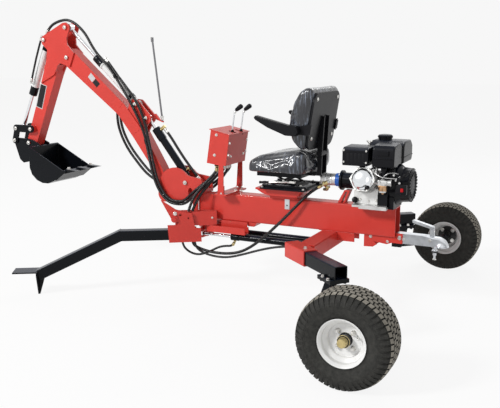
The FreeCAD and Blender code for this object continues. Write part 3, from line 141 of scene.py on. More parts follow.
def bump(nt, bsdf, height, strength, distance, socket="Normal"):
    normal = node(nt, "Bump", {"Height": height, "Strength": strength, "Distance": distance})
    nt.links.new(normal, bsdf.inputs[socket])


# ------------------------------------------------------------------ camera, light, floor
LENS, SENSOR = 53.05, 36.0
CAMERA_AT = (977.6, -4045.6, 1443.9)
CAMERA_AXES = ((0.8977, 0.4407, -0.0014), (-0.084, 0.1741, 0.9811), (0.4326, -0.8806, 0.1933))
LAMPS = (("key", (-4.8, -8.4, 6.6), 2.2, 850), ("fill", (3.5, -5.0, 2.2), 3.0, 18),
         ("back", (1.0, 5.0, 5.0), 3.0, 90))
LAMP_TARGET = (0.0, 0.0, 0.7)
SOFT_LIGHT, SHOWN_WHITE = 0.38, 0.93   # the world as a light, and as it is seen
FLOOR_GLOW = 0.88                      # share of plain white in the floor that is seen


def camera():
    data = assign(bpy.data.cameras.new("camera"), sensor_width=SENSOR, lens=LENS,
                  clip_start=0.05, clip_end=100.0)
    obj = bpy.context.scene.camera = placed("camera", data)
    turn = Matrix(CAMERA_AXES).transposed().to_4x4()
    obj.matrix_world = Matrix.Translation(at(*CAMERA_AT)) @ turn


def lamp(name, location, size, energy):
    data = assign(bpy.data.lights.new(name, "AREA"), shape="DISK", size=size, energy=energy)
    way = Vector(LAMP_TARGET) - Vector(location)
    assign(placed(name, data), location=location,
           rotation_euler=way.to_track_quat("-Z", "Y").to_euler())


def shown_rays(nt):
    """1 for camera, glossy and transmission rays, 0 for the rest."""
    total = node(nt, "LightPath", out="Is Camera Ray")
    path = total.node
    for ray in ("Is Glossy Ray", "Is Transmission Ray"):
        total = node(nt, "Math", {0: total, 1: path.outputs[ray]}, operation="MAXIMUM")
    return total


def studio():
    """A white room: soft light from the world, three lamps and a pale floor."""
    scene = bpy.context.scene
    scene.view_settings.view_transform = "Standard"
    scene.world = world = bpy.data.worlds.new("studio")
    world.use_nodes = True
    nt = world.node_tree
    nt.nodes.clear()
    out = nt.nodes.new("ShaderNodeOutputWorld")
    soft, white = (node(nt, "Background", {"Color": (1.0, 1.0, 1.0, 1.0), "Strength": strength})
                   for strength in (SOFT_LIGHT, SHOWN_WHITE))
    mix = node(nt, "MixShader", {0: shown_rays(nt), 1: soft, 2: white})
    nt.links.new(mix, out.inputs["Surface"])
    for row in LAMPS:
        lamp(*row)

    bm = bmesh.new()
    bmesh.ops.create_grid(bm, x_segments=1, y_segments=1, size=40.0)
    mesh = bpy.data.meshes.new("floor")
    bm.to_mesh(mesh)
    bm.free()
    floor = assign(placed("floor", mesh), location=(0, 0, -0.0005))
    nt, bsdf = new_material("floor", 0.95, specular=0.0)
    bsdf.inputs["Base Color"].default_value = (0.9, 0.9, 0.9, 1)
    mix = node(nt, "MixShader", {0: product(nt, shown_rays(nt), FLOOR_GLOW),
                                 1: bsdf.outputs[0], 2: node(nt, "Emission", {"Strength": 1.0})})
    nt.links.new(mix, nt.nodes["Material Output"].inputs["Surface"])
    mesh.materials.append(MATERIALS["floor"])


# ------------------------------------------------------------------ materials
MATERIALS = {}
# GREY_DUST is dust on what faces up; the bluish colour is a painted sky reflection on what faces
# up, for the black paints
GREY_DUST, BLUE_SKY_SHEEN = (0.4, 0.37, 0.32), (0.03, 0.045, 0.085)


def shade(colour, factor):
    return tuple(c * factor for c in colour)


def new_material(name, rough, metallic=0.0, coat=0.0, specular=0.5):
    mat = MATERIALS[name] = bpy.data.materials.new(name)
    mat.use_nodes = True
    bsdf = mat.node_tree.nodes["Principled BSDF"]
    for key, value in (("Metallic", metallic), ("Roughness", rough), ("Coat Weight", coat),
                       ("Coat Roughness", 0.06), ("Specular IOR Level", specular)):
        bsdf.inputs[key].default_value = value
    return mat.node_tree, bsdf


def wire(nt, bsdf, colour, rough):
    nt.links.new(colour, bsdf.inputs["Base Color"])
    nt.links.new(rough, bsdf.inputs["Roughness"])


def paint(name, colour, rough=0.26, dust_and_sheen=GREY_DUST, dust_and_sheen_share=0.06, coat=0.12, specular=0.32):
    """Gloss paint with orange peel and faint tone changes. What faces up is tinted: grey dust on
    most paints, a painted bluish sky reflection on the two gloss blacks.
    """
    nt, bsdf = new_material(name, rough, coat=coat, specular=specular)
    base = ramp(nt, noise_tex(nt, 3.5), (0.3, shade(colour, 0.88)), (0.7, colour))
    height = node(nt, "SeparateXYZ", {0: node(nt, "NewGeometry", out="Normal")}, "Z")
    patch = noise_tex(nt, 11.0, 6.0, 0.7)
    # upward faces take the tint: real dust when it is grey, a painted sky reflection when it is
    # bluish
    dust_and_sheen_mask = product(nt, spread(nt, height, 0.0, dust_and_sheen_share * 2, 0.2), patch)
    wire(nt, bsdf, mix_colour(nt, dust_and_sheen_mask, base, dust_and_sheen),
         spread(nt, patch, rough * 0.75, rough * 1.5))
    bump(nt, bsdf, noise_tex(nt, 260.0, 2.0), 0.06, 0.0006)


def metal(name, colour, rough, scale=60.0, spots=0.12, depth=0.08):
    """Bare or plated metal with a faint grain."""
    nt, bsdf = new_material(name, rough, metallic=1.0)
    tex = noise_tex(nt, scale, 5.0, 0.6)
    wire(nt, bsdf, ramp(nt, tex, (0.35, shade(colour, 1 - spots)), (0.65, colour)),
         spread(nt, tex, rough * 0.7, rough * 1.35))
    bump(nt, bsdf, tex, depth, 0.0008)


def cast_metal(name, colour, rough):
    """Bead-blasted casting: fine grain, and darker in its hollows."""
    nt, bsdf = new_material(name, rough, metallic=0.85)
    slow = noise_tex(nt, 24.0, 4.0)
    # the hollows, found by pointiness, are mixed towards a near-black grey
    hollow = spread(nt, node(nt, "NewGeometry", out="Pointiness"), 1.0, 0.0, 0.40, 0.5)
    base = ramp(nt, slow, (0.3, shade(colour, 0.82)), (0.7, colour))
    wire(nt, bsdf, mix_colour(nt, hollow, base, (0.09, 0.085, 0.08)),
         spread(nt, slow, rough * 0.8, rough * 1.25))
    bump(nt, bsdf, noise_tex(nt, 420.0, 4.0, 0.7), 0.25, 0.0008)


def moulded(name, colour, rough, scale=180.0, depth=0.15, specular=0.15):
    """Moulded plastic or rubber."""
    nt, bsdf = new_material(name, rough, specular=specular)
    slow = noise_tex(nt, 6.0, 3.0)
    wire(nt, bsdf, ramp(nt, slow, (0.3, shade(colour, 0.8)), (0.7, shade(colour, 1.15))),
         spread(nt, slow, rough * 0.85, rough * 1.15))
    bump(nt, bsdf, noise_tex(nt, scale, 3.0), depth, 0.0008)


def wrapped_vinyl(name):
    """Grained black vinyl under its clear wrapping, which is loose and creased; the streaks of
    light that the wrapping reflects are painted into the colour in bluish grey.
    """
    nt, bsdf = new_material(name, 0.42, coat=1.0, specular=0.25)
    grain = node(nt, "TexVoronoi", {"Vector": node(nt, "TexCoord", out="Object"), "Scale": 520.0},
                 "Distance", feature="DISTANCE_TO_EDGE")
    slow = noise_tex(nt, 8.0, 5.0, 0.6)
    lean = math.radians(28)
    crease = noise_tex(nt, 30.0, 2.0, 0.45, (1.9, 0.8, 0.38), (0, lean, 0))
    streak = noise_tex(nt, 52.0, 2.5, 0.5, (2.0, 0.9, 0.26), (0, lean, 0))
    broad = noise_tex(nt, 7.0, 2.0, 0.5)
    under = ramp(nt, slow, (0.3, (0.006, 0.006, 0.009)), (0.75, (0.016, 0.018, 0.026)))
    # painted highlight: bluish-grey streaks mixed into the base colour stand for light reflected
    # by the wrapping
    painted_streak_highlight = product(nt, spread(nt, streak, 0.0, 1.0, 0.5, 0.76),
                   spread(nt, broad, 0.1, 1.0, 0.42, 0.62))
    wire(nt, bsdf, mix_colour(nt, painted_streak_highlight, under, (0.26, 0.3, 0.38)), spread(nt, slow, 0.36, 0.55))
    nt.links.new(spread(nt, broad, 0.08, 0.2), bsdf.inputs["Coat Roughness"])
    bump(nt, bsdf, spread(nt, grain, 0.0, 1.0, 0.0, 0.4), 0.3, 0.0005)
    bump(nt, bsdf, crease, 0.8, 0.007, "Coat Normal")


def tread_rubber(name, low, high, rough):
    nt, bsdf = new_material(name, rough, specular=0.25)
    tex = noise_tex(nt, 40.0, 6.0, 0.7)
    wire(nt, bsdf, ramp(nt, tex, (0.3, low), (0.75, high)),
         spread(nt, tex, rough * 0.85, min(1.0, rough * 1.1)))
    bump(nt, bsdf, noise_tex(nt, 160.0, 4.0, 0.7), 0.25, 0.001)


def make_materials():
    paint("red_paint", (0.66, 0.047, 0.034), 0.34)
    # the bluish tint on its upward faces is a painted sky reflection
    paint("black_paint", (0.004, 0.005, 0.007), 0.2, BLUE_SKY_SHEEN, 0.35, 0.05, 0.11)
    paint("white_paint", (0.88, 0.88, 0.87), 0.3, dust_and_sheen_share=0.04)
    paint("white_barrel", (0.8, 0.8, 0.79), 0.3)
    paint("blue_paint", (0.015, 0.13, 0.55), 0.28)
    paint("hub_black", (0.01, 0.01, 0.011), 0.3, dust_and_sheen_share=0.03)
    # the bluish tint (0.03, 0.04, 0.07) on its upward faces is a painted sky reflection
    paint("engine_black", (0.005, 0.005, 0.007), 0.22, (0.03, 0.04, 0.07), 0.3, 0.05, 0.13)
    metal("galvanised_steel", (0.62, 0.64, 0.67), 0.36, 35.0)
    metal("zinc", (0.74, 0.73, 0.7), 0.3, 90.0)
    metal("yellow_zinc", (0.62, 0.5, 0.24), 0.33, 60.0, 0.25)
    metal("brass", (0.58, 0.36, 0.2), 0.38, 80.0, 0.2)
    cast_metal("cast_aluminium", (0.7, 0.7, 0.69), 0.42)
    metal("polished_aluminium", (0.8, 0.82, 0.84), 0.16, 50.0, 0.05, 0.03)
    metal("chrome_rod", (0.8, 0.81, 0.83), 0.12, 90.0, 0.06)
    metal("dark_steel", (0.2, 0.2, 0.21), 0.4)
    moulded("black_plastic", (0.008, 0.008, 0.01), 0.36)
    moulded("red_plastic", (0.5, 0.01, 0.015), 0.3)
    moulded("label", (0.6, 0.6, 0.6), 0.35, 40.0, 0.05)
    moulded("black_label", (0.02, 0.02, 0.022), 0.35, 40.0, 0.05)
    moulded("hose_rubber", (0.007, 0.007, 0.008), 0.3, specular=0.35)
    wrapped_vinyl("black_vinyl")
    tread_rubber("tyre_rubber", (0.012, 0.012, 0.011), (0.05, 0.049, 0.044), 0.75)
    tread_rubber("tread_dust", (0.2, 0.185, 0.155), (0.42, 0.39, 0.335), 0.9)


LOOKS = {"marker_rod": "dark_steel", "control_levers": "chrome_rod"}
SOFT_LOOKS = ("black_vinyl", "tyre_rubber", "hose_rubber")
EDGE, ARMREST_EDGE = 0.0011, 0.007   # rounds on hard edges, in metres


def dress_nodes():
    """Each CAD node gets its slot's material, and a small round on its hard edges."""
    for name, obj in NODES.items():
        look = LOOKS.get(name, SLOTS[name])
        for s in obj.material_slots:
            s.material = MATERIALS[look]
        if not obj.material_slots:
            obj.data.materials.append(MATERIALS[look])
        if look in SOFT_LOOKS:
            continue
        obj.modifiers.new("weld", "WELD").merge_threshold = 0.00002
        assign(obj.modifiers.new("edge", "BEVEL"), segments=2, limit_method="ANGLE",
               width=ARMREST_EDGE if name.startswith("armrest") else EDGE,
               angle_limit=math.radians(42), use_clamp_overlap=True)
        obj.modifiers.new("shade", "WEIGHTED_NORMAL").keep_sharp = False


def piece(name, bm, looks, body="frame", angle=35.0):
    """Link a finished bmesh as a piece that rides on a body."""
    looks = looks if isinstance(looks, list) else [looks]
    bmesh.ops.recalc_face_normals(bm, faces=bm.faces)
    mesh = bpy.data.meshes.new(name)
    bm.to_mesh(mesh)
    bm.free()
    for look in looks:
        mesh.materials.append(MATERIALS[look])
    mesh.shade_smooth()
    mesh.set_sharp_from_angle(angle=math.radians(angle))
    obj = placed(name, mesh)
    if body:
        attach(obj, body)
    return obj


def facing(way):
    """A turn that carries +Z to this direction."""
    return Vector(way).to_track_quat("Z", "Y").to_matrix()


def around(count, start=0.0):
    """Even angles around a circle."""
    return [start + 2 * math.pi * i / count for i in range(count)]


def rings(bm, loops, closed=False):
    """Skin between loops of points that all have the same count, capped unless closed."""
    made = [[bm.verts.new(p) for p in loop] for loop in loops]
    pairs = list(zip(made, made[1:])) + ([(made[-1], made[0])] if closed else [])
    for low, high in pairs:
        for i in range(len(low)):
            j = (i + 1) % len(low)
            bm.faces.new((low[i], low[j], high[j], high[i]))
    if not closed:
        bm.faces.new(list(reversed(made[0])))
        bm.faces.new(made[-1])
    return made


def turned_rings(bm, outline, start, way, angles):
    """Rings of (distance along, radius) in millimetres about an axis."""
    turn = facing(way)
    rings(bm, [[start + turn @ Vector((r * math.cos(a), r * math.sin(a), h)) / 1000
                for a in angles] for h, r in outline])


def lathe(bm, outline, start, way, steps=28):
    """Turn an outline about an axis."""
    turned_rings(bm, [(h, max(r, 0.02)) for h, r in outline], start, way, around(steps))


def hexagon(bm, start, way, across, height, turned=0.0):
    """A chamfered nut or bolt head that stands on a point."""
    r = across / math.sqrt(3)
    outline = [(h, k * r) for h, k in ((0, 1.0), (height * 0.82, 1.0), (height, 0.86))]
    turned_rings(bm, outline, start, way, around(6, turned))


def bolt(bm, start, way, across, turned=0.3, stud=True):
    """Washer, hexagon head and the end of a stud, standing on a surface."""
    start, way = Vector(start), Vector(way).normalized()
    w = across * 0.72
    lathe(bm, [(-1.0, w), (1.6, w), (2.0, w * 0.96)], start, way, 22)
    hexagon(bm, start + way * 0.002, way, across, across * 0.5, turned)
    if stud:
        r = across * 0.28
        outline = [(across * 0.4, r), (across * 0.66, r), (across * 0.72, r * 0.8)]
        lathe(bm, outline, start, way, 14)


def soften(bm, edges, soft):
    return bmesh.ops.bevel(bm, geom=list(edges), offset=soft / 1000, segments=2, affect="EDGES",
                           profile=0.6)["verts"]


def block(bm, low, high, soft):
    """A box with rounded edges between two corners."""
    a, b = at(*low), at(*high)
    size, middle = b - a, (a + b) / 2
    made = bmesh.ops.create_cube(bm, size=1.0)["verts"]
    for v in made:
        v.co = Vector((v.co.x * size.x, v.co.y * size.y, v.co.z * size.z))
    rounded = soften(bm, {e for v in made for e in v.link_edges}, soft)
    for v in {v for v in set(made) | set(rounded) if v.is_valid}:
        v.co += middle


def slab(bm, outline, y0, y1, soft):
    """A plate from an (x, z) outline, between two Y values."""
    near, far = ([bm.verts.new(at(x, y, z)) for x, z in outline] for y in (y0, y1))
    new = [bm.faces.new(near), bm.faces.new(list(reversed(far)))]
    for i in range(len(outline)):
        j = (i + 1) % len(outline)
        new.append(bm.faces.new((near[i], far[i], far[j], near[j])))
    bmesh.ops.recalc_face_normals(bm, faces=new)
    soften(bm, {e for f in new for e in f.edges}, soft)


def frames(points):
    """For each point of a line, two normals that don't twist along it."""
    last = len(points) - 1
    ways = [(points[min(i + 1, last)] - points[max(i - 1, 0)]).normalized()
            for i in range(last + 1)]
    side = ways[0].orthogonal().normalized()
    out = []
    for i, way in enumerate(ways):
        if i:
            side = ways[i - 1].rotation_difference(way) @ side
        side = (side - way * side.dot(way)).normalized()
        out.append((side, way.cross(side)))
    return out


def sweep(bm, points, radius, sides=12):
    """A round bar. The radius is in metres, or a function of distance and angle."""
    loops, gone = [], 0.0
    for i, (p, (side, other)) in enumerate(zip(points, frames(points))):
        if i:
            gone += (p - points[i - 1]).length
        loop = []
        for a in around(sides):
            r = radius(gone, a) if callable(radius) else radius
            loop.append(p + (side * math.cos(a) + other * math.sin(a)) * r)
        loops.append(loop)
    rings(bm, loops)


def route(points, step):
    """Even points along the smooth line that a set of places steer."""
    data = assign(bpy.data.curves.new("route", "CURVE"), dimensions="3D")
    line = data.splines.new("NURBS")
    line.points.add(len(points) - 1)
    for p, q in zip(line.points, points):
        p.co = (*at(*q), 1.0)
    assign(line, order_u=3, use_endpoint_u=True, resolution_u=24)
    obj = bpy.data.objects.new("route", data)
    mesh = bpy.data.meshes.new_from_object(obj)
    path = [v.co.copy() for v in mesh.vertices]
    bpy.data.objects.remove(obj)
    bpy.data.curves.remove(data)
    bpy.data.meshes.remove(mesh)
    total = sum((b - a).length for a, b in zip(path, path[1:]))
    count = max(2, round(total / step))
    out, gone, i = [path[0]], 0.0, 0
    for k in range(1, count):
        want = total * k / count
        while gone + (path[i + 1] - path[i]).length < want:
            gone += (path[i + 1] - path[i]).length
            i += 1
        leg = path[i + 1] - path[i]
        out.append(path[i] + leg * ((want - gone) / leg.length))
    return out + [path[-1]]


TREES = {}


def meet(nodes, start, way):
    """The node that a ray from a place meets first, where, the surface's normal and how far."""
    best = None
    for name in nodes:
        if name not in TREES:
            mesh = NODES[name].data
            TREES[name] = BVHTree.FromPolygons([v.co for v in mesh.vertices],
                                               [p.vertices for p in mesh.polygons])
        spot, normal, _, distance = TREES[name].ray_cast(at(*start), Vector(way))
        if spot is not None and (best is None or distance < best[3]):
            best = (name, spot, normal, distance)
    return best


def fasten(bm, nodes, start, way, across, out=None, stud=True):
    """A bolt where a ray meets these nodes, square to the surface or along out."""
    found = meet(nodes, start, way)
    if found:
        bolt(bm, found[1], out or found[2], across, stud=stud)


# ------------------------------------------------------------------ wheels
# (distance from the tyre's middle, radius) of the tread's top and of the carcass
TREAD = [(0, 228.5), (46.5, 228.3), (66, 225.5), (80.5, 219.5), (91, 209.5), (99, 198),
         (102.5, 186)]
CARCASS = [(78.5, 102.2), (82, 108), (84.5, 120), (90, 132), (97, 148), (101.5, 166), (101.8, 180),
           (98, 192), (90, 203.5), (79.5, 213), (66, 218.5), (46.5, 221.3), (0, 221.8)]
SIDE_RINGS = ((122, 86.6), (168, 102.3), (176, 102.9))
RING_SECTION = ((-1.4, -2.0), (-0.8, 0.0), (0.8, 0.0), (1.4, -2.0))
BLOCKS = 48
BLOCK_ROWS = (-82, -54.5, -27, 1.5, 29, 56.5)
BLOCK_WIDTH, BLOCK_HALF, BLOCK_LEAN = 24.5, 0.41, 0.16
LUG = ((84.5, 218.0, 0.37), (91, 210.5, 0.36), (98.5, 198.8, 0.33), (102.7, 186, 0.29),
       (103.0, 172, 0.2))
STUDS, STUD_R = 4, 50.8


def tread_height(y):
    y = abs(y)
    for (y0, r0), (y1, r1) in zip(TREAD, TREAD[1:]):
        if y <= y1:
            return r0 + (r1 - r0) * (y - y0) / (y1 - y0)
    return TREAD[-1][1]


def tyre(name, side):
    """Carcass with its moulded rings, then staggered turf blocks and shoulder lugs."""
    body, centre = "wheel_" + name, at(0, side * WHEEL_Y, WHEEL_R)

    def spot(angle, y, r):
        return centre + Vector((r * math.cos(angle), side * y, r * math.sin(angle))) / 1000
    bm = bmesh.new()
    outline = CARCASS + [(-y, r) for y, r in reversed(CARCASS[:-1])] + [(-70, 104), (70, 104)]
    turns = around(96)
    rings(bm, [[spot(a, y, r) for a in turns] for y, r in outline], closed=True)
    for flank in (-1, 1):
        for r, y in SIDE_RINGS:
            rings(bm, [[spot(a, flank * (y + out), r + up) for up, out in RING_SECTION]
                       for a in turns], closed=True)
    carcass = piece("tyre_%s_carcass" % name, bm, "tyre_rubber", body, 50)
    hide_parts("tyre_" + name)

    bm = bmesh.new()
    step = 2 * math.pi / BLOCKS
    for row, y0 in enumerate(BLOCK_ROWS):
        y1 = y0 + BLOCK_WIDTH
        mid_y, lean = (y0 + y1) / 2, BLOCK_LEAN if row % 2 else -BLOCK_LEAN
        for i in range(BLOCKS):
            middle = step * (i + 0.5 * (row % 2))
            low = [(middle + step * (s * BLOCK_HALF + lean * (y - mid_y) / 24), y)
                   for s, y in ((-1, y0), (1, y0), (1, y1), (-1, y1))]
            top = [(middle + (a - middle) * 0.9, mid_y + (y - mid_y) * 0.9) for a, y in low]
            made = rings(bm, [[spot(a, y, tread_height(y) - drop) for a, y in points]
                              for drop, points in ((9.5, low), (1.6, low), (0.0, top))])
            for f in made[-1][0].link_faces:
                if all(v in made[-1] for v in f.verts):
                    f.material_index = 1
    for flank in (-1, 1):
        for i in range(BLOCKS):
            middle = step * (i + (0.5 if flank > 0 else 0.0))
            loops = []
            for y, r, w in LUG:
                down, out, up = (9.0, 0.35, 0.93) if y < 95 else (5.5, 0.9, 0.4)
                back = (flank * (y - down * out), r - down * up)
                loops.append([spot(middle - step * w, *back),
                              spot(middle - step * w * 0.86, flank * y, r),
                              spot(middle + step * w * 0.86, flank * y, r),
                              spot(middle + step * w, *back)])
            rings(bm, loops)
    piece("tyre_%s_tread" % name, bm, ["tyre_rubber", "tread_dust"], body, 30)


def wheel_trim(name, side):
    """Zinc dust cap with its tab, stud nuts and a valve stem."""
    body, out = "wheel_" + name, Vector((0, side, 0))
    hub = at(0, side * WHEEL_Y, WHEEL_R)

    def off(distance):
        return hub + out * (distance / 1000)
    bm = bmesh.new()
    lathe(bm, [(0, 21.4), (2, 23.4), (7, 23.4), (8.5, 22.0), (27, 21.6), (30, 20.2), (31, 17),
               (30.2, 12), (30.2, 0)], off(58), out, 36)
    lathe(bm, [(0, 29.5), (3, 30), (4, 27), (4, 21)], off(56), out, 36)
    piece("dust_cap_" + name, bm, "yellow_zinc", body)
    bm = bmesh.new()
    shell = BVHTree.FromObject(NODES["hub_" + name], bpy.context.evaluated_depsgraph_get())
    for i in range(STUDS):
        angle = math.radians(45 + 90 * i)
        aside = Vector((STUD_R * math.cos(angle), 0, STUD_R * math.sin(angle))) / 1000
        spot = off(27.5) + aside
        lathe(bm, [(-1, 12.5), (1.5, 12.5), (5, 10)], spot, out, 24)
        hexagon(bm, spot + out * 0.004, out, 18.6, 10.5, 0.2 * i)
        lathe(bm, [(8, 5.6), (17, 5.6), (18.5, 4.6)], spot, out, 14)
        found = shell.ray_cast(hub + aside - out * 0.15, out)
        bolt(bm, found[0], -out, 19, 0.2 * i, stud=False)
    lathe(bm, [(-8, 5), (14, 4.2), (15, 5.2), (24, 5.2), (25, 4)],
          off(40) + Vector((60, 0, 20)) / 1000, (0.35, side * 0.9, 0.1), 14)
    piece("stud_nuts_" + name, bm, "zinc", body)


# ------------------------------------------------------------------ hoses
HOSE, THIN = 8.5, 6.5                      # radii
HOSE_STEP, PITCH = 0.0024, 0.0085          # metres between rings, and a turn of the guard
PORT_X, PORT_Z = -1196, 795.7
PORT_Y = (-84.0, -50.0, -16.0, 18.0, 52.0, 86.0)
NEAR_Y, FAR_Y, POST_Y = -50.0, 50.0, -84.0
# runs across a joint: body before, body after, and where the bend starts and ends
STICK_TO_BOOM = ("stick", "boom", (-2330, 0, 1690), (-1990, 0, 1370))
BOOM_TO_POST = ("boom", "swing_post", (-1722, 0, 870), (-1610, 0, 590))
UNDER_TO_POST = ("boom", "swing_post", (-1790, 0, 690), (-1600, 0, 585))
POST_TO_FRAME = ("swing_post", "frame", (-1410, 0, 560), (-1290, 0, 660))
BOTH, FIRST, LAST, NONE = (True, True), (True, False), (False, True), (False, False)
REPLACED = {"hose_bucket_upper": ("hoses_stick", "hoses_boom"), "hose_post_run_1": ("hoses_post",),
            "hose_leg_1": ("hoses_frame",), "hose_boom_cylinder_line": ("hose_boom_cylinder",)}


def wrapped(name, points, radius, hold, ends, plating="zinc"):
    """A hose in its spiral guard, with a crimped fitting where an end is a real one.
    hold is a body, or one of the runs across a joint."""
    line = route(points, HOSE_STEP)
    thick = radius / 1000
    body = hold if isinstance(hold, str) else None

    def guard(gone, angle):
        phase = (gone / PITCH + angle / (2 * math.pi)) % 1.0
        return thick + (0.0011 if phase < 0.62 else 0.0) - 0.0003
    bm = bmesh.new()
    sweep(bm, line, guard)
    made = [piece(name, bm, "hose_rubber", body, 65)]
    if any(ends):
        bm = bmesh.new()
        r = radius
        for real, tip, inner in zip(ends, (line[0], line[-1]), (line[6], line[-7])):
            if real:
                way = inner - tip
                lathe(bm, [(-3, r * 0.75), (0, r * 0.8)], tip, way, 16)
                hexagon(bm, tip, way, r * 2.25, 9.0, 0.3)
                lathe(bm, [(8, r * 0.8), (12, r * 0.8), (13, r + 2.6), (17, r + 3.0),
                           (20, r + 2.4), (22, r + 3.0), (26, r + 2.4), (28, r + 3.0),
                           (32, r + 2.6), (34, r + 1.2)], tip, way, 20)
        made.append(piece(name + "_ends", bm, plating, body))
    if not body:
        for o in made:
            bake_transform(o)
    if name in REPLACED:
        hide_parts(*REPLACED[name])


def level(y, *points):
    """Points of a hose that all lie at this Y."""
    return [(x, y, z) for x, z in points]


def port(number, z):
    """The last two points of a hose that comes up to a port of the valve block."""
    return level(PORT_Y[number], (PORT_X, z), (PORT_X, PORT_Z))


ARM_HOSES = (
    ("hose_bucket_upper", HOSE, STICK_TO_BOOM, FIRST, [
        (-2548, -18, 1612), (-2516, -28, 1656), (-2426, -42, 1694), (-2312, -54, 1704),
        (-2200, -54, 1626), (-2132, -54, 1515), (-2080, -51, 1454),
        *level(NEAR_Y, (-2006, 1390), (-1965, 1333))]),
    ("hose_bucket_lower", THIN, "stick", BOTH, level(
        -42, (-2570, 1600), (-2600, 1530), (-2636, 1440), (-2678, 1318), (-2692, 1280))),
    ("hose_dipper_upper", HOSE, "boom", FIRST, level(
        NEAR_Y, (-2040, 1452), (-1990, 1392), (-1946, 1340), (-1944, 1336))),
    ("hose_boom_run_1", HOSE, BOOM_TO_POST, NONE, [
        *level(NEAR_Y, (-1965, 1333), (-1925, 1276), (-1850, 1166), (-1790, 1060), (-1748, 962)),
        (-1722, -56, 862), (-1690, -74, 762),
        *level(POST_Y, (-1656, 668), (-1614, 592), (-1566, 546), (-1522, 530), (-1482, 530))]),
    ("hose_boom_run_2", HOSE, BOOM_TO_POST, NONE, [
        *level(NEAR_Y, (-1944, 1336), (-1832, 1214), (-1778, 1126), (-1742, 1034), (-1724, 950)),
        (-1699, -56, 858), (-1668, -74, 762),
        *level(POST_Y, (-1637, 678), (-1600, 610), (-1562, 566), (-1524, 549), (-1483, 549))]),
    ("hose_post_run_1", HOSE, POST_TO_FRAME, LAST, [
        *level(POST_Y, (-1482, 530), (-1434, 530)), (-1366, -86, 592), (-1332, -110, 616),
        (-1298, -98, 650), (-1254, -62, 692), (-1214, -28, 734), *port(2, 768)]),
    ("hose_post_run_2", HOSE, POST_TO_FRAME, LAST, [
        *level(POST_Y, (-1483, 549), (-1440, 549)), (-1380, -86, 606), (-1336, -104, 638),
        (-1292, -78, 678), (-1248, -38, 712), (-1210, 2, 744), *port(3, 772)]),
    ("hose_under_run_1", HOSE, UNDER_TO_POST, FIRST, [
        *level(FAR_Y, (-2018, 1196), (-2034, 1100), (-2030, 1010), (-2000, 925), (-1950, 840),
               (-1884, 765), (-1826, 704), (-1775, 668)),
        (-1722, 56, 640), (-1660, 80, 618), (-1596, 90, 592), (-1548, 95, 564),
        (-1500, 96, 564)]),
    ("hose_under_run_2", HOSE, UNDER_TO_POST, FIRST, [
        *level(FAR_Y, (-1994, 1186), (-2008, 1096), (-2004, 1016), (-1976, 938), (-1928, 858),
               (-1866, 786), (-1810, 728), (-1768, 694)),
        (-1722, 58, 664), (-1660, 82, 640), (-1596, 92, 614), (-1550, 96, 585),
        (-1500, 97, 585)]),
    ("hose_far_run_1", HOSE, POST_TO_FRAME, LAST, [
        (-1500, 96, 564), (-1448, 100, 564), (-1376, 104, 592), (-1310, 112, 636),
        (-1250, 92, 700), (-1206, 66, 744), *port(4, 770)]),
    ("hose_far_run_2", HOSE, POST_TO_FRAME, LAST, [
        (-1500, 97, 585), (-1448, 102, 585), (-1384, 112, 616), (-1320, 124, 656),
        (-1256, 116, 712), (-1208, 96, 750), *port(5, 772)]))
FRAME_HOSES = (
    ("hose_leg_1", HOSE, "frame", FIRST, [
        *reversed(port(0, 770)), (-1216, -94, 740), (-1260, -118, 690), (-1302, -146, 634),
        (-1330, -170, 580), (-1346, -184, 512.8)]),
    ("hose_leg_2", HOSE, "frame", FIRST, [
        *reversed(port(1, 768)), (-1208, -62, 732), (-1246, -92, 682), (-1288, -122, 622),
        (-1314, -146, 566), (-1330, -166, 512.8)]),
    ("hose_pump", HOSE, "frame", LAST, [
        *level(-132, (-1350, 324.7), (-1350, 298)), (-1334, -122, 276), (-1290, -112, 258),
        *level(-110, (-1220, 247), (-1119, 249), (-1030, 268), (-953, 309), (-856, 387)),
        (-735, -100, 508), (-641, -84, 612), (-575, -64, 684), (-515.2, -40.5, 720.2)]),
    ("hose_swing_1", THIN, "frame", LAST, [
        (-1409, -160, 324.7), (-1409, -160, 298), (-1396, -150, 262), (-1360, -134, 232),
        (-1310, -116, 222), (-1250, -96, 244), (-1196, -78, 276), (-1150, -70, 288),
        (-1100, -62, 290), (-1084, -62, 325.2)]),
    ("hose_swing_2", THIN, "frame", LAST, [
        (-1330, -140, 324.7), (-1330, -140, 300), (-1310, -140, 264), (-1262, -132, 240),
        (-1190, -130, 228), (-1100, -130, 232), (-1000, -128, 262), (-888, -120, 302),
        (-792, -108, 328), (-700, -94, 340), (-560, -90, 347)]))
CYLINDER_HOSE = ((376, 56), (310, 60), (200, 54), (80, 56), (-40, 62))
CYLINDER_PORTS = ((388, 27, 62), (70, 23, 50))


def hoses():
    for rows, plating in ((ARM_HOSES, "zinc"), (FRAME_HOSES, "yellow_zinc")):
        for name, radius, hold, ends, points in rows:
            wrapped(name, points, radius, hold, ends, plating)
    base = Vector((-1437, 0, 670))
    way = (Vector((-1746, 0, 1068)) - base).normalized()
    side = Vector((way.z, 0, -way.x))

    def beside(distance, off):
        """A place along the boom cylinder and off its axis."""
        return tuple(base + way * distance + side * off)
    wrapped("hose_boom_cylinder_line", [beside(*p) for p in CYLINDER_HOSE], HOSE,
            "boom_barrel", BOTH)
    bm = bmesh.new()
    for distance, low, high in CYLINDER_PORTS:
        lathe(bm, [(0, 9), (6, 9), (7, 11.5), (16, 11.5), (17, 8.5), (high - low, 8.5)],
              at(*beside(distance, low)), side, 18)
    lathe(bm, [(-10, 9), (10, 10), (12, 7)], at(*beside(388, 56)), -way, 18)
    hexagon(bm, at(*beside(388, 60)), side, 20, 8)
    piece("boom_cylinder_ports", bm, "yellow_zinc", "boom_barrel")


